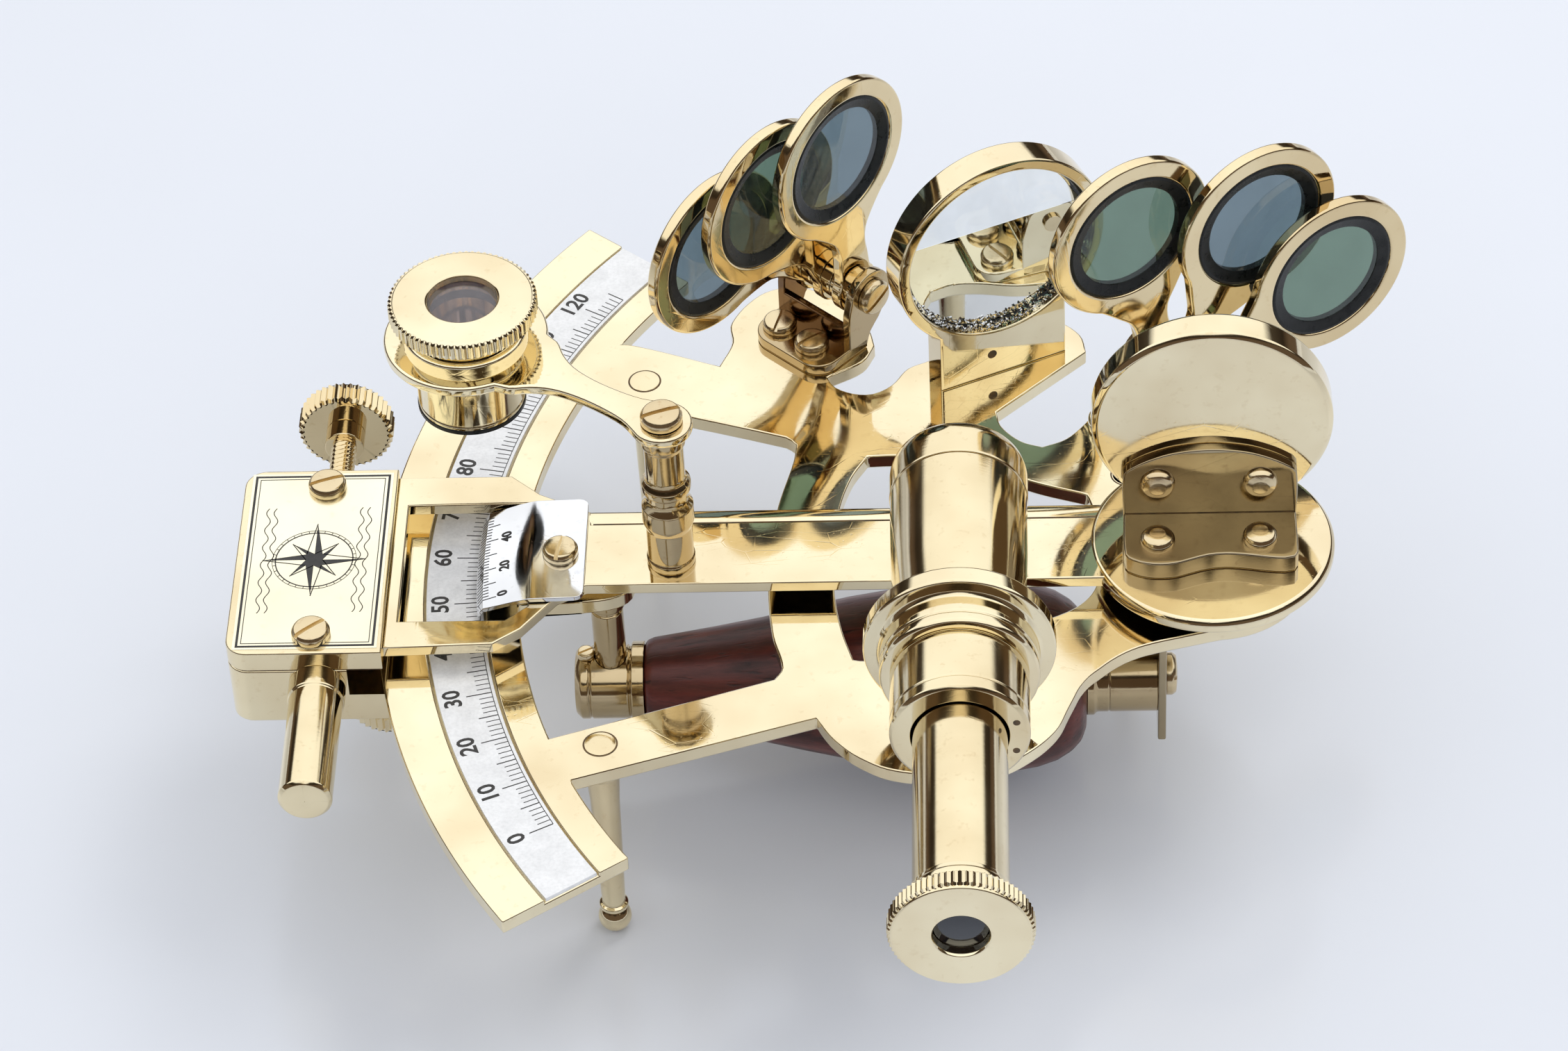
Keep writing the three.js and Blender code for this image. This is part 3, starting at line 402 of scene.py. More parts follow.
def thread(r, y0, y1, pitch=0.75, depth=0.22, n=40):
    rows = int((y1 - y0) / pitch * 8); V, F = [], []
    for i in range(rows + 1):
        y = y0 + (y1 - y0) * i / rows
        for k in range(n):
            a = 2 * math.pi * k / n; ph = (y / pitch - k / n) % 1.0
            rr = r - depth * (abs(2 * ph - 1))
            V.append((rr * math.cos(a), rr * math.sin(a), y))
    for i in range(rows):
        for k in range(n):
            j = (k + 1) % n; F.append((i * n + k, i * n + j, (i + 1) * n + j, (i + 1) * n + k))
    return np.array(V), F

def sector(r0, r1, a0, a1, z0, z1, bev=0.15, n=110):
    return plate(arc(0, 0, r1, a0, a1, n) + arc(0, 0, r0, a1, a0, n), z0, z1, bev=bev)

def text(s, size, ang_deg, x, y, z, depth=0.012):
    cu = bpy.data.curves.new("t", "FONT"); cu.body = s; cu.size = size; cu.align_x = "CENTER"; cu.align_y = "CENTER"; cu.extrude = depth; cu.resolution_u = 3; cu.offset = 0.022 * size
    o = bpy.data.objects.new("t", cu); COL.objects.link(o)
    V, F = evaluated(o)
    return at(turn((V, F), ang_deg), x, y, z)

# ------------------------------------------------------------------ frame
LRO, LRI, A0, A1, SRI, SRO = 99.6, 82.7, 140.7, 215.0, 86.9, 93.7
body = [(-79.5, -36.9), (-46.7, -25.5)] + [(-46.16, -26.67), (-45.09, -28.5), (-43.86, -30.04), (-42.44, -31.48), (-40.83, -32.68), (-39.22, -33.66), (-37.62, -34.25), (-35.66, -34.68), (-33.02, -34.89), (-30.23, -34.78), (-27.04, -34.29), (-24.47, -33.33), (-22.14, -31.65), (-20.19, -29.78), (-18.54, -27.45), (-17.45, -24.64), (-16.69, -22.72), (-16.01, -21.02), (-14.92, -19.32), (-13.67, -18.08), (-12.26, -16.72), (-10.61, -15.48), (-8.95, -14.59), (-6.65, -13.77), (-4.02, -13.06)] \
    + arc(0, 0, 11.8, -86, 44, 26) + [(8.9, 12), (8.2, 18), (6.2, 24), (2.6, 29.5), (-2.2, 32.6), (-8, 32.4), (-12.2, 28.2), (-14.7, 24.4),
    (-17, 21.8), (-19.8, 20.5), (-22.4, 21.6), (-24.8, 24.4), (-25.3, 26.9), (-14.1, 37.8), (-14.8, 41), (-17.8, 43.8), (-22, 44.5), (-33.6, 36.7),
    (-36.3, 35.2), (-38.3, 32.2), (-40.6, 30.7), (-43, 30.8), (-45.2, 32), (-46.2, 33.8), (-41.9, 36.6), (-40.4, 39.6), (-41.2, 42.8), (-46.4, 49.2), (-50.6, 51.6), (-55, 49.6), (-58.4, 44.4), (-58.2, 40.6),
    (-59.7, 36.3), (-70.4, 40.4), (-79, 43.5), (-82.5, 33.6), (-51.2, 22.9), (-49.9, 21.6), (-50.2, 18.5), (-51.9, 10.7), (-52.7, 3), (-52.8, -4.7), (-52.1, -12), (-50.9, -17.2), (-51.8, -19.1),
    (-67.6, -24.7), (-81.5, -29.6)]
def keep_in(p, R=84.5):
    r = math.hypot(*p); return p if r < R else (p[0] * R / r, p[1] * R / r)
body = [keep_in(p) for p in body]
ring_hole = [(-37.9, 19.3), (-41.1, 19.2), (-43, 15.5), (-44.4, 10), (-45, 3), (-44.8, -5.2), (-43.9, -11), (-42.5, -16),
    (-41, -16.2), (-36, -14.2), (-31, -13), (-24, -11.2), (-17.4, -8.5), (-14.4, -5.5), (-13.2, -1), (-13, 5), (-14.6, 11.8), (-20.6, 14), (-26, 16.8), (-31, 19)]
lug = [(-84.0, -6.0), (-73, -5.4), (-69.6, -4), (-68.8, -1.5), (-69.6, 1.2), (-73, 2.6), (-84.0, 3.4)]
fr = plate(smooth(body, 40), -2.0, 0, [smooth(ring_hole, 40)], bev=0)
fr = boolean(fr, sector(LRI, LRO, A0, A1, -2.0, 0.0, 0), plate(smooth(lug, 50), -2.0, 0, bev=0), op="UNION")
fr = boolean(fr, sector(SRI - 0.25, SRO + 0.25, A0 - 2, A1 + 2, -0.6, 1.0, 0), lathe([(0, -3), (3.25, -3), (3.25, 1), (0, 1)], 64, 0))
piece("frame_body", fr, BRASS_FLAT, replaces=["frame"], bevel=0.2, flatten=True)
piece("frame_boss", lathe([(3.25, -0.2), (8.5, -0.2), (8.5, 1.4), (3.25, 1.4), (3.25, -0.2)], 96, 0.2), BRASS, body="frame_body")
piece("scale_strip", sector(SRI, SRO, A0 + 0.12, A1 - 0.12, -0.62, -0.06, 0.05), SCALE, replaces=["scale_arc"])
# graduations: one per unit from the inner edge, longer every 5 and 10, numbers every 10
ticks, nums = [], []
ang = lambda v: 208.7 - v * 0.5033
for v in range(0, 126):
    L = 3.0 if v % 10 == 0 else 2.3 if v % 5 == 0 else 1.6
    a = ang(v) * D; w = 0.075 if v % 5 == 0 else 0.055
    m = slab(SRI + 0.45, SRI + 0.45 + L, -w, w, -0.065, -0.045)
    ticks.append(turn(m, ang(v)))
ticks.append(sector(SRI + 0.38, SRI + 0.47, ang(125), ang(0), -0.065, -0.045, 0.005))
piece("scale_ticks", join(*ticks), INK, body="frame_body", merge=False)
for v in range(0, 121, 10):
    a = ang(v); r = SRO - 1.75
    nums.append(text(str(v), 2.9, a - 90, r * math.cos(a * D), r * math.sin(a * D), -0.055))
piece("scale_numbers", join(*nums), INK, body="frame_body", merge=False)

FOOT = -30.9
LEGS = [("leg_front", -71.75, -29.35), ("leg_rear", -68.9, 33.6), ("leg_right", -9.6, 15.2)]
seams = []
for name, x, y in LEGS:
    zc = FOOT + 1.85
    ball = [(0, FOOT), (0.8, FOOT)] + [(2.0 * math.cos(t), zc + 2.0 * math.sin(t)) for t in np.radians(np.linspace(-62, 48, 12))]
    prof = ball + [(1.32, zc + 1.62), (1.75, zc + 1.9), (1.75, zc + 2.35), (1.32, zc + 2.6), (1.45, zc + 4.2), (1.75, -9), (2.0, -4.8), (2.15, -4.3), (3.0, -3.5), (3.0, -2.0), (1.9, -2.0), (1.9, 0.10 if name != "leg_right" else 0.0), (1.2, 0.16 if name != "leg_right" else 0.0), (0, 0.18 if name != "leg_right" else 0.0)]
    piece(name + "_turned", at(lathe(prof, 48, 0.12), x, y), BRASS_T, replaces=[name])
    seams.append(at(plate(circle(0, 0, 2.06, 48), -0.02, 0.012, [circle(0, 0, 1.88, 48)], bev=0.003), x, y))
piece("frame_rivet_seams", join(*seams), SEAM_AND_SHADE, body="frame_body")

# ------------------------------------------------------------------ handle
HY, HZ, PX = -2.0, -17.0, -72.4
grip = [(0, -68.4), (4.4, -68.4), (5.0, -68.1), (5.35, -67.2), (5.85, -64), (6.6, -59.5), (7.6, -54), (8.75, -49), (9.9, -43.5), (10.75, -38), (11.4, -32), (11.65, -27), (11.5, -23.5), (11.1, -21), (10.3, -18.6), (9.2, -16.8), (7.9, -15.6), (6.2, -15.0), (0, -15.0)]
piece("grip_turned", along_x(lathe(grip, 96, 0.5), HY, HZ), WOOD, replaces=["handle_grip"])
fl = [(0, -76.8), (3.8, -76.8), (4.5, -76.1), (4.5, -75.2), (4.3, -75.0), (4.5, -74.8), (4.5, -70.4), (4.25, -70.15), (4.9, -69.9), (4.9, -68.4), (0, -68.4)]
piece("ferrule_left", boolean(along_x(lathe(fl, 72, 0.12), HY, HZ), at(lathe([(0, -3.2), (2.02, -3.2), (2.02, 6), (0, 6)], 32, 0), PX, HY, HZ)), BRASS_AGED_SHADED, replaces=["handle_left_ferrule"])
piece("pillar_left", at(lathe([(0, HZ - 3), (1.95, HZ - 3), (1.95, -4.6), (1.7, -4.4), (1.7, -4.0), (2.3, -3.6), (2.3, -2), (0, -2)], 48, 0.12), PX, HY), BRASS_AGED_SHADED, replaces=["handle_left_pillar"])
piece("ferrule_screw", at(screw_head(1.1, 0.9, 0.3, 0.3, 30), -75.4, HY, HZ + 4.45), BRASS_S, replaces=["handle_left_screw"])
Mplate = np.array([[0, 0, 1, 0], [1, 0, 0, HY], [0, 1, 0, HZ], [0, 0, 0, 1.0]])
piece("end_plate", join(T(plate([(-4.7, -6.6), (4.7, -6.6), (4.7, 9.0), (-4.7, 9.0)], -6.4, -5.4, bev=0.2), Mplate),   # thinned and cut back at the top, clear of the pivot
    T(plate([(-4.7, 8.6), (4.7, 8.6), (4.7, 13.9), (-4.7, 13.9)], -6.4, -5.98, bev=0.08), Mplate),
    box(-8.6, -5.98, HY - 4.7, HY + 4.7, -3.2, -2.0, 0.2)), BRASS_DARK, replaces=["handle_right_plate"])
piece("ferrule_right", along_x(lathe([(0, -15.0), (4.8, -15.0), (4.9, -14.9), (4.9, -14.1), (4.6, -13.8), (4.5, -13.6), (4.5, -12.4), (4.4, -12.25), (4.5, -12.1), (4.5, -6.4), (0, -6.4)], 96, 0.12), HY, HZ), BRASS_AGED_SHADED, replaces=["handle_right_ferrule"])
piece("end_plate_screw", at(along_x(screw_head(2.6, 1.3, 0.45, 0.45, 60, 0.15), HY, HZ), -5.4), BRASS_S, replaces=["handle_right_screw"])

# ------------------------------------------------------------------ telescope
SX, SZ = -29.9, 12.2
def scope(name, prof, mat, rep, n=120, r=0.14, dx=0.0): return piece(name, along_y(lathe(prof, n, r), SX, SZ), mat, replaces=rep)
holder = lathe([(7.75, -31.6), (8.9, -31.6), (9.2, -31.2), (9.2, -30.2), (9.0, -30.0), (9.2, -29.8), (9.2, -27.7), (9.6, -27.3), (10.9, -27.2), (11.1, -26.9), (11.1, -25.0), (10.9, -24.7), (9.4, -24.4), (8.9, -23.9), (8.6, -23.2), (8.5, -22.6), (7.75, -22.6), (7.75, -31.6)], 120, 0.14)
piece("holder_rings", join(boolean(along_y(holder, SX, SZ), box(SX - 13, SX + 3.2, -33, -22, -1, 3.85)), box(SX - 3.2, SX + 3.2, -31.4, -27.2, 0.02, 4.4, 0.2)), BRASS, replaces=["telescope_holder"])
piece("main_tube", along_y(lathe([(7.0, -2.35), (7.0, -30), (5.62, -30), (5.62, -41), (7.6, -41), (8.0, -40.6), (8.0, -39.2), (7.87, -39.05), (8.0, -38.9), (8.0, -32.1), (7.85, -31.8), (7.7, -31.7), (7.7, -21), (7.85, -16.5), (8.0, -12), (8.1, -2.35), (7.0, -2.35)], 120, 0.12), SX, SZ), BRASS_T, replaces=["telescope_tube"])
# painted shade: dark discs stand in for the two pin holes in the cell face
piece("front_pin_holes", join(*[along_y(at(lathe([(0, -41.02), (0.42, -41.02), (0.42, -40.9), (0, -40.9)], 20, 0), 6.75 * math.cos(a), 6.75 * math.sin(a)), SX, SZ) for a in (0.35, -0.32)]), SEAM_AND_SHADE, body="frame_body")
piece("cell_ring", along_y(lathe([(6.2, -4.6), (6.9, -4.6), (6.9, -2.25), (8.05, -2.2), (8.18, -2.0), (8.2, 1.2), (8.12, 2.0), (7.9, 2.8), (7.6, 3.3), (7.2, 3.6), (6.5, 3.6), (6.2, 3.3), (6.2, -4.6)], 120, 0.12), SX, SZ), BRASS_T, replaces=["objective_cell"])
scope("objective_glass", [(0, -0.8), (6.15, -0.5), (6.15, 0.7), (4, 1.2), (2, 1.5), (0, 1.6)], G_LENS, ["objective_lens"], r=0.1)
piece("draw_tube_turned", along_y(lathe([(4.7, -68), (5.4, -68), (5.4, -18.2), (5.2, -18), (4.7, -18), (4.7, -68)], 120, 0.08), SX, SZ), BRASS_T, replaces=["draw_tube"])
cap = join(lathe([(3.1, -66), (3.1, -71.1), (3.3, -71.4), (7.6, -71.4), (7.75, -71.25), (7.75, -68.8), (6.5, -68.45), (5.95, -68.0), (5.9, -67.4), (6.1, -67.2), (6.1, -66.5), (5.85, -66.2), (5.85, -65.6), (5.5, -65.6), (5.5, -66.0), (3.1, -66)], 144, 0.1),
           knurled(8.15, -71.05, -68.85, 72, 0.2, 0.3, bore=7.0))
piece("eyepiece_flange", along_y(cap, SX, SZ), BRASS, replaces=["eyepiece_cap"])
piece("eye_glass", along_y(lathe([(0, -70.5), (1.8, -70.4), (3.08, -70.1), (3.08, -67.3), (0, -67.0)], 64, 0.1), SX, SZ), G_DARK, replaces=["eyepiece_lens"])
piece("eye_stop", along_y(lathe([(1.5, -67.0), (4.6, -67.0), (4.6, -66.4), (1.5, -66.4), (1.5, -67.0)], 64, 0.05), SX, SZ), BLACK, body="draw_body")

# ------------------------------------------------------------------ upright plates
def upright(p, z, beta):
    b = beta * D
    return np.array([[math.cos(b), 0, math.sin(b), p[0]], [math.sin(b), 0, -math.cos(b), p[1]], [0, 1, 0, z], [0, 0, 0, 1.0]])

HGM = upright((-24.3, 34.4), 0, 25)
RO, RI, ZC, TH, ST = 13.8, 12.25, 19.2, 4.0, 8.5
j = math.degrees(math.asin(ST / RO))
mount = [plate(arc(0, ZC, RO, -90 + j, 270 - j, 110) + [(-ST, 7.2), (-ST, 0.02), (ST, 0.02), (ST, 7.2)], -TH, 0, [circle(0, ZC, RI, 110)], bev=0.3, seg=3),
         lathe([(RI - 0.9, -TH + 0.05), (RI + 0.4, -TH + 0.05), (RI + 0.4, -TH + 1.0), (RI - 0.9, -TH + 1.0), (RI - 0.9, -TH + 0.05)], 110, 0.1)]
mount[1] = at(mount[1], 0, ZC, 0)
piece("horizon_ring", join(*mount), BRASS, replaces=["horizon_mount"], frame_m=HGM)
piece("horizon_pane", plate(circle(0, ZC, RI - 0.12, 96), -TH + 1.1, -TH + 2.3, bev=0.15), G_CLEAR, replaces=["horizon_glass"], frame_m=HGM)
cut_y = ZC + 3.2
half = [p for p in arc(0, ZC, RI - 0.35, 180 - math.degrees(math.asin(3.2 / (RI - 0.35))), 360 + math.degrees(math.asin(3.2 / (RI - 0.35))), 90)]
piece("horizon_silvering", plate(half, -TH + 2.32, -TH + 2.40, bev=0.01), MIRROR, body="frame_body", frame_m=HGM)
# rough foil edge showing under the pane
rng = np.random.default_rng(7)
foil = []
for t in np.linspace(196, 344, 420):
    r = RI - 0.16 - abs(rng.normal(0, 0.26)) * math.sin((t - 180) * D); s = rng.uniform(0.06, 0.17)
    foil.append(at(turn(at(slab(-s, s, -s * 0.6, s * 0.6, -0.12, 0.12), 0, 0, 0), rng.uniform(0, 180)), r * math.cos(t * D), ZC + r * math.sin(t * D), -TH + 2.5 + rng.uniform(0, 1.0)))
piece("horizon_foil_edge", join(*foil), SILVER, body="frame_body", frame_m=HGM, merge=False)
piece("horizon_rim_seam", at(lathe([(RI - 0.5, -TH + 2.3), (RI + 0.02, -TH + 2.3), (RI + 0.02, -TH + 2.75), (RI - 0.3, -TH + 2.65), (RI - 0.5, -TH + 2.3)], 110, 0), 0, ZC, 0), BLACK, body="frame_body", frame_m=HGM)
# painted shade: a dark disc stands in for the adjusting hole
piece("horizon_adjust_hole", at(join(lathe([(0, 0.0), (0.62, 0.0), (0.62, 0.02), (0, 0.02)], 24, 0)), -1.6, 3.4, 0), SEAM_AND_SHADE, body="frame_body", frame_m=HGM)

# ------------------------------------------------------------------ shades
HOR = dict(p=(-42.8, 42.0), z=8, beta=47.5, e=3.25, L=21.6, phi=(95, 120.7, 143))
IDX = dict(p=(-2.0, 21.5), z=8, beta=31, e=3.4, L=22.1, phi=(25, 58.5, 101.5))
def shade_set(S, prefix, tints):
    M = upright(S["p"], S["z"], S["beta"])
    half = S["e"] / 2 - 0.05; back = -(2 * S["e"] + half) - 0.15; front = half + 0.15; EAR = 1.2; zf = -S["z"]
    fp = [(-1.0, front + EAR), (-1.0, back - EAR)] + arc(-6.6, back - EAR + 3, 3, 270, 180, 12) + arc(-6.6, front + EAR - 3, 3, 180, 90, 12)
    Mfoot = np.array([[1, 0, 0, 0], [0, 0, 1, 0], [0, 1, 0, 0], [0, 0, 0, 1.0]])
    foot = T(plate(fp, zf + 0.02, zf + 1.5, bev=0.22, seg=3), Mfoot)
    earo = [(-4.0, zf + 0.1), (-1.0, zf + 0.1), (-0.2, zf + 2.2), (1.3, -4.4), (2.7, -2.3)] + arc(0, 0, 3.4, -15, 172, 26) + [(-3.9, -1.5), (-4.0, -3.6)]
    ear = lambda a, b: plate(smooth(earo, 60), a, b, bev=0.18)
    web = T(plate([(-4.0, back - EAR + 0.1), (-3.0, back - EAR + 0.1), (-3.0, front + EAR - 0.1), (-4.0, front + EAR - 0.1)], zf + 0.1, zf + 4.5, bev=0.2), Mfoot)
    if prefix == "index":
        piece("index_bracket_bent", join(foot, ear(front, front + EAR), ear(back - EAR, back), web), BRASS, replaces=["index_shade_bracket"], frame_m=M)
    else:                                   # the rear ear and the web carry painted shade: a dark brown copy of the brass standing in for the shadow around the shade pivots
        piece("horizon_bracket_bent", join(foot, ear(front, front + EAR)), BRASS_AGED_SHADED, replaces=["horizon_shade_bracket"], frame_m=M)
        piece("horizon_bracket_web", join(ear(back - EAR, back), web), BRASS_SHADE_BROWN, body="frame_body", frame_m=M)
    if prefix == "index":
        hs = [T(screw_head(2.1, 1.15, 0.45, 0.4, a), np.array([[1, 0, 0, -6.4], [0, 0, 1, zf + 1.5], [0, -1, 0, zz], [0, 0, 0, 1.0]])) for a, zz in ((20, -1.4), (70, -6.9))]
        piece("index_bracket_screw_heads", join(*hs), BRASS_S, body="frame_body", frame_m=M)
    pin = join(at(screw_head(2.35, 1.25, 0.55, 0.5, 25, 0.1), 0, 0, front + EAR + 0.02), at(lathe([(0, 0), (1.2, 0), (1.2, front - back + 2 * EAR + 0.5), (0, front - back + 2 * EAR + 0.5)], 32, 0.1), 0, 0, back - EAR - 0.5))
    piece(f"{prefix}_pin_turned", pin, BRASS_S, replaces=[f"{prefix}_shade_pin"], frame_m=M)
    for i, phi in enumerate(S["phi"]):
        a = phi * D
        R = np.array([[math.cos(a), -math.sin(a), 0, 0], [math.sin(a), math.cos(a), 0, 0], [0, 0, 1, -S["e"] * i], [0, 0, 0, 1.0]])
        MM = M @ R; L = S["L"]
        ol = arc(L, 0, 10.9, -146, 146, 64) + [(10.6, 4.2), (8.6, 2.75), (6.6, 2.35), (4.4, 2.5)] + arc(0, 0, 3.4, 50, 310, 26) + [(4.4, -2.5), (6.6, -2.35), (8.6, -2.75), (10.6, -4.2)]
        sh = join(plate(smooth(ol, 60, 3), -0.8, 0.8, [circle(L, 0, 8.5, 72)], bev=0.38, seg=4), lathe([(1.25, -half), (2.7, -half), (2.7, half), (1.25, half), (1.25, -half)], 40, 0.12))
        bodyname = NODE_BODY[f"{prefix}_shade_{i+1}"]
        piece(f"{prefix}_shade_plate_{i+1}", sh, BRASS_GOLD, replaces=[f"{prefix}_shade_{i+1}"], frame_m=MM)
        rim = lathe([(6.85, -0.55), (8.56, -0.55), (8.56, 0.62), (8.2, 0.70), (7.3, 0.42), (6.85, 0.30), (6.85, -0.55)], 80, 0.08)
        piece(f"{prefix}_shade_rim_{i+1}", at(rim, L, 0, 0), BLACK, body=bodyname, frame_m=MM)
        gl = lathe([(0, -0.45), (6.95, -0.45), (6.95, 0.22), (0, 0.30)], 72, 0)
        piece(f"{prefix}_shade_pane_{i+1}", at(gl, L, 0, 0), tints[i], replaces=[f"{prefix}_shade_glass_{i+1}"], frame_m=MM)
shade_set(HOR, "horizon", (G_GREY, G_GREEN, G_GREY))
shade_set(IDX, "index", (G_GREEN, G_GREY, G_GREEN))
def on_axes(S, du, dn):
    b = S["beta"] * D
    return S["p"][0] + math.cos(b) * du + math.sin(b) * dn, S["p"][1] + math.sin(b) * du - math.cos(b) * dn
for i, dn in enumerate((-1.4, -6.9)):
    x, y = on_axes(HOR, -6.4, dn)
    piece(f"bracket_screw_head_{i+1}", at(screw_head(2.15, 1.15, 0.5, 0.45, 35 + 40 * i, 0.08), x, y, 1.5), BRASS_S, replaces=[f"horizon_bracket_screw_{i+1}"])

# ------------------------------------------------------------------ index arm
arm = [(0, -6.35), (0, 4.1), (-40, 4.1), (-74.0, 4.1), (-74.2, 6.35), (-80.4, 9.6), (-84.0, 12.9), (-97.7, 12.9), (-97.7, -16.4), (-84.8, -16.0), (-81.6, -13.6), (-77.6, -8.2), (-74.2, -6.35)]
win = [(-81.0, 8.0), (-96.2, 7.9), (-96.2, -12.0), (-83.6, -12.0), (-81.0, -9.7)]
ridge_sec = [(4.0, 1.95), (6.35, 1.95), (6.35, 3.3), (5.6, 3.5), (4.6, 3.5), (4.0, 3.35)]
ridge = plate([(y, z) for y, z in ridge_sec], 0, 73.4, bev=0.1)      # drawn in (y, z), long axis becomes -X
ridge = T(ridge, np.array([[0, 0, -1, -1.0], [1, 0, 0, 0], [0, 1, 0, 0], [0, 0, 0, 1.0]]))
hub = lathe([(0, 1.7), (14.0, 1.7), (14.6, 2.1), (14.6, 3.1), (14.1, 3.7), (0, 3.7)], 120, 0.25)
armm = join(plate(arm, 1.9, 3.5, [win], bev=0.22, seg=3), ridge, hub)
piece("arm_plate", armm, BRASS, replaces=["index_arm"])
# painted shade: a dark strip laid in the groove between the ridge and the arm top
piece("arm_crease", slab(-73.8, -8.0, 4.02, 4.18, 3.40, 3.505), SEAM_AND_SHADE, body="arm_body")
pv = join(lathe([(0, -3.9), (4.9, -3.9), (5.3, -3.5), (5.3, -2.2), (3.1, -2.2), (3.1, 1.7), (0, 1.7)], 64, 0.15))
piece("pivot_turned", boolean(pv, slab(-6, 6, -0.45, 0.45, -5, -3.2)), BRASS_S, replaces=["pivot_screw"])

MY, MZ, MR = 3.0, 18.9, 14.2
cup = [(0, MY), (MR - 0.6, MY), (MR, MY + 0.5), (MR, MY + 3.6), (MR - 0.35, MY + 4.1), (MR - 1.2, MY + 4.1), (MR - 1.3, MY + 1.6), (0, MY + 1.6)]
piece("mirror_cup_turned", along_y(lathe(cup, 144, 0.2), 0, MZ), BRASS, replaces=["index_mirror_cup"])
piece("mirror_pane", along_y(lathe([(0, MY + 1.6), (MR - 1.45, MY + 1.6), (MR - 1.45, MY + 3.3), (MR - 1.7, MY + 3.5), (0, MY + 3.5)], 120, 0), 0, MZ), MIRROR, replaces=["index_mirror_glass"])
Z1 = 3.7
leaf = [(-10.4, Z1), (10.0, Z1), (10.0, 12.4), (8.9, 13.5), (6.8, 14.7), (4.0, 15.7), (-0.2, 16.2), (-4.4, 15.7), (-7.2, 14.7), (-9.3, 13.5), (-10.4, 12.4)]
footo = [(-10.4, MY), (-10.4, -5.2), (-9.4, -6.2), (-7.9, -6.8), (-6.2, -7.0), (-4.4, -6.8), (-2.4, -6.1), (-0.6, -5.5), (1.4, -5.3), (3.6, -5.5), (6.4, -6.0), (8.4, -6.2), (9.6, -5.9), (10.0, -5.2), (10.0, MY)]
UP = np.array([[1, 0, 0, 0], [0, 0, -1, MY], [0, 1, 0, 0], [0, 0, 0, 1.0]])   # (x, z) drawing, thickness towards -Y
ab = join(T(plate(smooth(leaf, 50), 0.02, 1.3, bev=0.2, seg=3), UP), plate(smooth(footo, 60), Z1, Z1 + 2.4, bev=0.25, seg=3))
piece("angle_bracket", ab, BRASS_DARK, replaces=["index_mirror_bracket"])
rv = [at(rivet_head(2.05, 1.1), -6.5, -2.8, Z1 + 2.4), at(rivet_head(2.05, 1.1), 5.6, -2.5, Z1 + 2.4)] + [T(at(rivet_head(2.05, 1.1), x, 11.0, 1.3), UP) for x in (-6.4, 5.7)]
piece("angle_bracket_rivets", join(*rv), BRASS_S, body="arm_body")
# painted shade: a dark strip laid in the inner corner of the fold
piece("angle_bracket_fold", slab(-10.2, 9.8, MY - 1.42, MY - 1.28, Z1 + 2.38, Z1 + 2.43), SEAM_AND_SHADE, body="arm_body")

# vernier: tab, then a blade bending down to the scale
VZ, VT = 3.5, 0.8
VSLOPE = [(-81.4, VZ + VT - 0.15), (-82.2, 3.75), (-85.4, 2.32), (-88.2, 1.08)]
def vernier():
    sec = [(-74.4, VZ + VT), (-74.6, VZ + VT), (-75.0, VZ + VT), (-75.5, VZ + VT), (-78, VZ + VT), (-80.6, VZ + VT)] + VSLOPE
    nb = 26; V, F = [], []
    def ylim(x):
        r = -x
        if x > -81:
            t = (-74.4 - x) / 6.6; c = 1.1 - math.sqrt(max(0, 1.21 - max(0, x + 75.5) ** 2))
            return -9.2 - 0.2 * t + c, 7.8 - 0.2 * t - c
        lo = -9.4 + (r - 81) * 0.10; hi_ = 7.6
        return lo, hi_
    xs = [s[0] for s in sec]
    for (x, z) in sec:
        a, b = ylim(x)
        for k in range(nb + 1):
            y = a + (b - a) * k / nb
            xx = x
            if x < -81.5:     # bend the rows to the reading radius
                f = (-81.5 - x) / 6.7
                xx = (1 - f) * x + f * (-math.sqrt(max(0, 87.6**2 - y * y)))
            V.append((xx, y, z))
    n = nb + 1; top = len(V)
    for (x, y, z) in list(V): V.append((x, y, z - 0.62))
    for i in range(len(sec) - 1):
        for k in range(nb):
            F.append((i * n + k, i * n + k + 1, (i + 1) * n + k + 1, (i + 1) * n + k))
            F.append((top + i * n + k, top + (i + 1) * n + k, top + (i + 1) * n + k + 1, top + i * n + k + 1))
    for k in range(nb):
        F.append((k, top + k, top + k + 1, k + 1)); q = (len(sec) - 1) * n
        F.append((q + k, q + k + 1, top + q + k + 1, top + q + k))
    for i in range(len(sec) - 1):
        F.append((i * n, (i + 1) * n, top + (i + 1) * n, top + i * n)); F.append((i * n + nb, top + i * n + nb, top + (i + 1) * n + nb, (i + 1) * n + nb))
    return np.array(V, float), F
piece("vernier_bent", vernier(), SILVER, replaces=["vernier_plate"], bevel=0.08)
# vernier graduations lie on the bent blade
def blade_z(x, y):
    R = -math.sqrt(87.6**2 - y * y)
    rows = sorted(((1 - f) * a + f * R, z) for a, z, f in ((a, z, max(0.0, (-81.5 - a) / 6.7)) for a, z in VSLOPE))
    return float(np.interp(x, [r[0] for r in rows], [r[1] for r in rows]))
def on_blade(m, lift):
    V, F = m; V = V.copy()
    V[:, 2] = [blade_z(x, y) + lift + z for x, y, z in V]
    return V, F
def tick(x0, x1, y, w, n=10):
    V = [(x0 + (x1 - x0) * i / n, y + s * w / 2, z) for i in range(n + 1) for s, z in ((-1, 0.0), (1, 0.0), (1, -0.08), (-1, -0.08))]
    F = [(4 * i + a, 4 * i + (a + 1) % 4, 4 * i + 4 + (a + 1) % 4, 4 * i + 4 + a) for i in range(n) for a in range(4)]
    return np.array(V), F + [(3, 2, 1, 0), (4 * n, 4 * n + 1, 4 * n + 2, 4 * n + 3)]
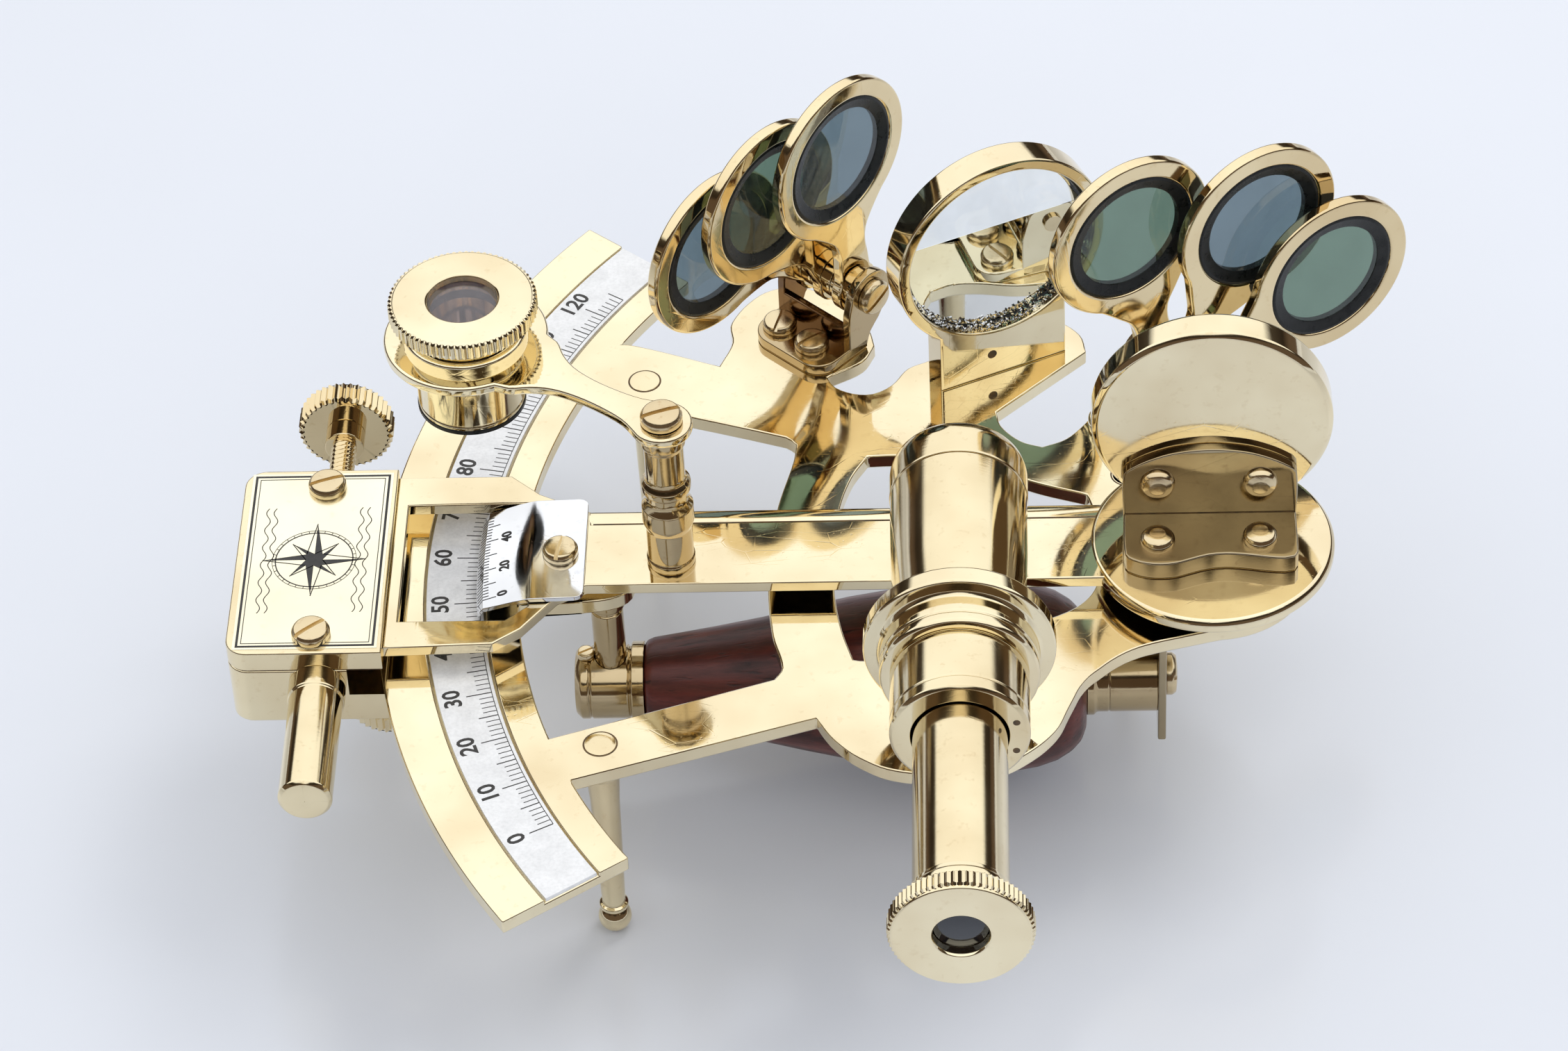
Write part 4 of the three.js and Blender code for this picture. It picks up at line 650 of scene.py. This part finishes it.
vt, vn = [], []
for k in range(-15, 14):
    y = k * 0.5; x0 = -math.sqrt(87.5**2 - y * y)
    vt.append(on_blade(tick(x0, x0 + (2.3 if k % 5 == 0 else 1.4), y, 0.11), 0.03))
piece("vernier_ticks", join(*vt), INK, body="arm_body", merge=False)
for s, y in (("0", -7.2), ("20", -2.5), ("40", 2.5)):
    vn.append(on_blade(text(s, 1.7, 90, -84.1, y, 0.0), 0.04))
piece("vernier_numbers", join(*vn), INK, body="arm_body", merge=False)
piece("vernier_screw_head", at(screw_head(2.15, 1.2, 0.5, 0.5, 78, 0.1), -77.4, -1.6, VZ + VT), BRASS_S, replaces=["vernier_screw"])

# ------------------------------------------------------------------ magnifier
PO, LO = (-64.2, -2.0), (-88.0, 13.9)
post = [(0, 2.0), (1.4, 2.0), (1.4, 3.5), (2.9, 3.5), (2.9, 4.4), (2.75, 4.6), (2.75, 9.2), (2.9, 9.6), (3.1, 10.2), (3.1, 12.6), (2.7, 13.3), (2.5, 13.9), (2.5, 14.8), (2.95, 15.2), (2.95, 16.2), (2.5, 16.7), (2.35, 17.2), (2.35, 21.9), (2.65, 22.4), (2.65, 24.1), (0, 24.1)]
piece("post_turned", at(lathe(post, 64, 0.16), *PO), BRASS_AGED_SHADED, replaces=["magnifier_post"])
piece("post_screw", at(screw_head(2.5, 1.4, 0.6, 0.6, 20, 0.1), *PO, 25.7), BRASS_S, replaces=["magnifier_screw"])
dv = (LO[0] - PO[0], LO[1] - PO[1]); LL = math.hypot(*dv); th = math.degrees(math.atan2(dv[1], dv[0]))
dog = arc(0, 0, 3.6, 62, 298, 24) + [(4.2, -2.2), (7.5, -1.8), (11, -1.8), (14.2, -2.3), (16.6, -3.4), (18.6, -4.9)] + arc(LL, 0, 9.8, -147, 147, 70) + [(18.6, 4.9), (16.6, 3.4), (14.2, 2.3), (11, 1.8), (7.5, 1.8), (4.2, 2.2)]
dogm = plate(smooth(dog, 60, 3), 24.2, 25.6, [circle(LL, 0, 6.55, 80)], bev=0.4, seg=4)
collar = at(lathe([(6.5, 24.0), (7.4, 24.0), (7.4, 26.6), (7.1, 26.9), (6.5, 26.9), (6.5, 24.0)], 96, 0.15), LL)
piece("dogbone_arm", at(turn(join(dogm, collar), th), *PO), BRASS, replaces=["magnifier_arm"])
bar = lathe([(5.6, 15.2), (6.15, 15.2), (6.4, 15.5), (6.4, 16.2), (6.25, 16.35), (6.4, 16.5), (6.4, 27.3), (5.0, 27.3), (5.0, 26.9), (5.6, 26.9), (5.6, 15.2)], 96, 0.1)
piece("loupe_barrel", at(bar, *LO), BRASS_T, replaces=["magnifier_barrel"])
piece("loupe_dark_rim", at(lathe([(5.3, 15.12), (6.3, 15.12), (6.5, 15.3), (6.5, 15.75), (6.42, 15.85), (6.1, 15.85), (6.1, 15.3), (5.3, 15.3), (5.3, 15.12)], 96, 0), *LO), BLACK, body="loupe_body")
eye = join(lathe([(4.15, 29.0), (5.62, 29.0), (5.62, 27.45), (5.75, 27.33), (6.3, 27.33), (6.4, 27.45), (6.4, 28.7), (6.6, 28.95), (8.3, 29.0), (8.45, 29.3), (8.45, 31.1), (8.2, 31.3), (4.45, 31.3), (4.15, 31.05), (4.15, 29.0)], 144, 0.12), knurled(8.85, 29.05, 31.2, 72, 0.24, 0.25, bore=7.4))
piece("loupe_knurled_disc", at(eye, *LO), BRASS, replaces=["magnifier_eyepiece"])
piece("loupe_glass", at(lathe([(0, 29.1), (4.14, 29.4), (4.14, 30.3), (3.4, 30.45), (2, 30.6), (0, 30.65)], 80, 0), *LO), G_LOUPE, replaces=["magnifier_lens"])
piece("loupe_inner_stop", at(lathe([(4.3, 27.6), (5.6, 27.6), (5.6, 28.9), (4.3, 28.9), (4.3, 27.6)], 72, 0.05), *LO), BLACK, body="loupe_body")

# ------------------------------------------------------------------ tangent-screw housing
BX0, BX1, BY0, BY1, BZ0, BZ1, CZ1, BR = -116.2, -97.7, -18.3, 13.3, -6.6, 1.7, 4.6, 2.6
def rounded(x0, x1, y0, y1, r, n=10): return [(x1, y0), (x1, y1)] + arc(x0 + r, y1 - r, r, 90, 180, n) + arc(x0 + r, y0 + r, r, 180, 270, n)
TX, TZ = -105.6, -0.8
CL = (-97.4, -12.0)
blk = plate(rounded(BX0, -92.5, BY0, BY1, BR), BZ0, BZ1 - 0.06, bev=0.3, seg=3)
blk = boolean(blk, at(lathe([(0, -2.35), (103.6, -2.35), (103.6, 5), (0, 5)], 360, 0)), slab(-96.5, -90, BY0 + 12.5, BY1 + 1, BZ0 - 1, BZ1 + 1),
    along_y(lathe([(0, BY0 - 1), (1.78, BY0 - 1), (1.78, BY1 + 1), (0, BY1 + 1)], 40, 0), TX, TZ))
piece("housing_block", blk, BRASS_T, replaces=["tangent_block"])
piece("housing_cover", plate(rounded(BX0, BX1, BY0, BY1, BR), BZ1, CZ1, bev=0.28, seg=3), BRASS_T, replaces=["tangent_cover"])
piece("housing_seam", plate(rounded(BX0 + 0.12, BX1 - 0.12, BY0 + 0.12, BY1 - 0.12, BR), BZ1 - 0.08, BZ1 + 0.02, bev=0.01), SEAM_AND_SHADE, body="arm_body")
for i, (x, y, a) in enumerate(((-106.1, 10.2, 20), (-106.1, -15.2, 40))):
    piece(f"cover_screw_head_{i+1}", at(screw_head(2.3, 1.25, 0.55, 0.5, a, 0.1), x, y, CZ1), BRASS_S, replaces=[f"cover_screw_{i+1}"])
# plain label plate: border lines and a compass star
LX0, LX1, LY0, LY1 = BX0 + 0.9, BX1 - 0.5, BY0 + 0.7, BY1 - 0.7
piece("label_plate", plate([(LX0, LY0), (LX1, LY0), (LX1, LY1), (LX0, LY1)], CZ1 - 0.02, CZ1 + 0.05, bev=0.02), LABEL, body="arm_body")
def rect_line(x0, x1, y0, y1, w, z):
    return plate([(x0, y0), (x1, y0), (x1, y1), (x0, y1)], z, z + 0.02, [[(x0 + w, y0 + w), (x1 - w, y0 + w), (x1 - w, y1 - w), (x0 + w, y1 - w)]], bev=0.002)
zt = CZ1 + 0.05
marks = [rect_line(LX0 + 0.35, LX1 - 0.35, LY0 + 0.35, LY1 - 0.35, 0.30, zt), rect_line(LX0 + 0.95, LX1 - 0.95, LY0 + 0.95, LY1 - 0.95, 0.10, zt)]
cx, cy = (LX0 + LX1) / 2, (LY0 + LY1) / 2
def star(cx, cy, R, r, off, z):
    out = []
    for k in range(4):
        a = (k * 90 + off) * D; b = a + 45 * D; c = a - 45 * D
        tip = (cx + R * math.cos(a), cy + R * math.sin(a)); s1 = (cx + r * math.cos(b), cy + r * math.sin(b)); s2 = (cx + r * math.cos(c), cy + r * math.sin(c))
        out.append(plate([(cx, cy), s2, tip], z, z + 0.02, bev=0.001))                      # solid half of each point
        for p, q in ((s1, tip),):
            d = np.array(q) - np.array(p); n_ = np.array([-d[1], d[0]]) / np.linalg.norm(d) * 0.06
            out.append(plate([tuple(np.array(p) - n_), tuple(np.array(q) - n_), tuple(np.array(q) + n_), tuple(np.array(p) + n_)], z, z + 0.02, bev=0.001))
    return out
marks += star(cx, cy, 6.2, 1.35, 0, zt) + star(cx, cy, 3.9, 1.0, 45, zt)
marks += [plate(circle(cx, cy, 4.7, 64), zt, zt + 0.02, [circle(cx, cy, 4.55, 64)], bev=0.001), plate(circle(cx, cy, 5.05, 64), zt, zt + 0.02, [circle(cx, cy, 4.98, 64)], bev=0.001)]
for k in range(32):
    a = k * 11.25; marks.append(at(turn(slab(4.7, 5.0, -0.04, 0.04, 0, 0.02), a), cx, cy, zt))
for sx in (-1, 1):                                                                          # wave lines beside the star
    for q in (0, 0.9):
        xs = np.linspace(-9.0, 9.0, 90); wy = cx + sx * (6.1 - q) + 0.28 * np.sin(xs * 2.1)
        marks.append(plate([(a + 0.06, cy + b) for a, b in zip(wy, xs)] + [(a - 0.06, cy + b) for a, b in zip(wy[::-1], xs[::-1])], zt, zt + 0.02, bev=0.001))
piece("label_marks", join(*marks), INK, body="arm_body", merge=False)

piece("sleeve_turned", along_y(lathe([(1.9, -18.3), (1.9, -32), (0, -32), (0, -37.2), (2.75, -37.2), (3.18, -36.75), (3.18, -21.2), (3.4, -21.0), (3.4, -18.3), (1.9, -18.3)][2:] + [(1.9, -32), (0, -32)], 72, 0.12), TX, TZ), BRASS_T, replaces=["tangent_sleeve"])
ts = join(thread(1.55, 12.0, 23.4), lathe([(0, -30), (1.6, -30), (1.6, 12.2), (0, 12.2)], 40, 0.1), lathe([(0, 23.1), (2.4, 23.1), (2.4, 25.7), (0, 25.7)], 48, 0.15), knurled(5.85, 25.7, 29.0, 40, 0.38, 0.4),
          lathe([(0, 28.9), (2.2, 28.9), (2.1, 29.15), (0, 29.2)], 48, 0.1))
piece("tangent_knob", along_y(ts, TX, TZ), BRASS_GOLD, replaces=["tangent_screw"])
piece("clamp_knob", at(join(knurled(5.85, -9.7, -7.0, 40, 0.38, 0.4), lathe([(0, -7.1), (1.5, -7.1), (1.5, -2.4), (0, -2.4)], 40, 0.1)), *CL), BRASS_T, replaces=["clamp_screw"])

# ------------------------------------------------------------------ studio: floor, sky, lamps, camera
def floor():
    me = bpy.data.meshes.new("floor"); s = 4.0
    me.from_pydata([(-s, -s, -0.00005), (s, -s, -0.00005), (s, s, -0.00005), (-s, s, -0.00005)], [], [(0, 1, 2, 3)])
    o = bpy.data.objects.new("floor", me); COL.objects.link(o)
    m, nt, out = new_mat("studio_floor")
    p = N(nt, "ShaderNodeBsdfPrincipled", Roughness=0.16)
    n = noise(nt, 9, 4)
    c = ramp(nt, n.outputs["Fac"], [(0.3, (0.735, 0.758, 0.81)), (0.7, (0.76, 0.785, 0.84))])
    nt.links.new(c.outputs["Color"], p.inputs["Base Color"])
    # seen at a low angle the floor fades into the backdrop, and loses its sheen
    g = nt.nodes.new("ShaderNodeNewGeometry"); sx = nt.nodes.new("ShaderNodeSeparateXYZ"); nt.links.new(g.outputs["Incoming"], sx.inputs[0])
    nt.links.new(ramp(nt, sx.outputs["Z"], [(0.08, (0, 0, 0)), (0.42, (0.45, 0.45, 0.45))]).outputs["Color"], p.inputs["Specular IOR Level"])
    lp = nt.nodes.new("ShaderNodeLightPath"); fade = ramp(nt, sx.outputs["Z"], [(0.0, (1, 1, 1)), (0.03, (0.85, 0.85, 0.85)), (0.09, (0.45, 0.45, 0.45)), (0.22, (0.12, 0.12, 0.12)), (0.40, (0, 0, 0))])
    mu = N(nt, "ShaderNodeMath", operation="MULTIPLY"); nt.links.new(fade.outputs["Color"], mu.inputs[0]); nt.links.new(lp.outputs["Is Camera Ray"], mu.inputs[1])
    em = N(nt, "ShaderNodeEmission", Color=(0.82, 0.85, 0.93, 1), Strength=1.0); mx = nt.nodes.new("ShaderNodeMixShader")
    nt.links.new(mu.outputs[0], mx.inputs[0]); nt.links.new(p.outputs[0], mx.inputs[1]); nt.links.new(em.outputs[0], mx.inputs[2])
    nt.links.new(mx.outputs[0], out.inputs["Surface"]); me.materials.append(m)
floor()

w = bpy.data.worlds.new("studio"); bpy.context.scene.world = w; w.use_nodes = True
nt = w.node_tree; nt.nodes.clear()
out = nt.nodes.new("ShaderNodeOutputWorld"); bg = nt.nodes.new("ShaderNodeBackground"); tc = nt.nodes.new("ShaderNodeTexCoord"); sp = nt.nodes.new("ShaderNodeSeparateXYZ")
nt.links.new(tc.outputs["Generated"], sp.inputs[0])
def M(op, a, b=0.0, c=None):
    m = nt.nodes.new("ShaderNodeMath"); m.operation = op
    for k, v in enumerate((a, b) if c is None else (a, b, c)):
        if hasattr(v, "links"): nt.links.new(v, m.inputs[k])
        else: m.inputs[k].default_value = v
    return m.outputs[0]
near = M("MAXIMUM", M("MULTIPLY", sp.outputs["Y"], -1.0), 0.0)
side = M("ABSOLUTE", sp.outputs["X"])
f = M("SUBTRACT", sp.outputs["Z"], M("ADD", M("MULTIPLY", near, 0.55), M("MULTIPLY", side, 0.13)))
ns = nt.nodes.new("ShaderNodeTexNoise"); ns.inputs["Scale"].default_value = 2.6; ns.inputs["Detail"].default_value = 1.0
nt.links.new(tc.outputs["Generated"], ns.inputs["Vector"])
f = M("ADD", f, M("MULTIPLY", M("SUBTRACT", ns.outputs["Fac"], 0.5), 0.22))
r = nt.nodes.new("ShaderNodeValToRGB"); e = r.color_ramp.elements
while len(e) < 5: e.new(0.5)
for k, (pos, col) in enumerate([(0.0, (0.12, 0.085, 0.06)), (0.08, (0.03, 0.022, 0.016)), (0.235, (0.06, 0.048, 0.036)), (0.30, (1.20, 1.21, 1.21)), (1.0, (1.34, 1.36, 1.39))]):
    e[k].position = pos; e[k].color = (*col, 1)
nt.links.new(f, r.inputs["Fac"])
lp = nt.nodes.new("ShaderNodeLightPath"); mxn = nt.nodes.new("ShaderNodeMix"); mxn.data_type = "RGBA"
nt.links.new(lp.outputs["Is Camera Ray"], mxn.inputs["Factor"]); nt.links.new(r.outputs["Color"], mxn.inputs["A"]); mxn.inputs["B"].default_value = (0.82, 0.85, 0.93, 1)
mx2 = nt.nodes.new("ShaderNodeMix"); mx2.data_type = "RGBA"
nt.links.new(lp.outputs["Is Diffuse Ray"], mx2.inputs["Factor"]); nt.links.new(mxn.outputs["Result"], mx2.inputs["A"]); mx2.inputs["B"].default_value = (0.90, 0.92, 0.96, 1)
nt.links.new(mx2.outputs["Result"], bg.inputs["Color"]); bg.inputs["Strength"].default_value = 1.0
nt.links.new(bg.outputs[0], out.inputs["Surface"])

def area(name, loc, target, size, power, color=(1, 1, 1)):
    l = bpy.data.lights.new(name, "AREA"); l.shape = "RECTANGLE"; l.size, l.size_y = size; l.energy = power; l.color = color
    o = bpy.data.objects.new(name, l); COL.objects.link(o); o.location = loc
    o.rotation_euler = (Vector(target) - Vector(loc)).to_track_quat("-Z", "Y").to_euler()
    o.visible_glossy = False
area("softbox_back", (0.42, 0.42, 0.95), (0, 0, 0.03), (0.5, 0.4), 2.4, (1, 0.99, 0.97))

cam = bpy.data.cameras.new("photo_view"); co = bpy.data.objects.new("photo_view", cam); COL.objects.link(co)
AZ, EL, ROLL = 3.18 * D, 43.245 * D, -3.078 * D
back = Vector((math.sin(AZ) * math.cos(EL), -math.cos(AZ) * math.cos(EL), math.sin(EL)))
right = Vector((math.cos(AZ), math.sin(AZ), 0)); up = back.cross(right)
r2 = right * math.cos(ROLL) + up * math.sin(ROLL); u2 = up * math.cos(ROLL) - right * math.sin(ROLL)
pos = (Vector((-23.96, -481.49, 460.26)) + Vector(SHIFT)) * 0.001
co.matrix_world = Matrix(((r2.x, u2.x, back.x, pos.x), (r2.y, u2.y, back.y, pos.y), (r2.z, u2.z, back.z, pos.z), (0, 0, 0, 1)))
cam.lens = 8024.6 / 2257 * 36; cam.sensor_width = 36; cam.sensor_fit = "HORIZONTAL"; cam.clip_start = 0.01; cam.clip_end = 50
sc = bpy.context.scene; sc.camera = co
sc.view_settings.view_transform = "Standard"; sc.view_settings.look = "None"; sc.view_settings.exposure = 0.0; sc.view_settings.gamma = 1.0
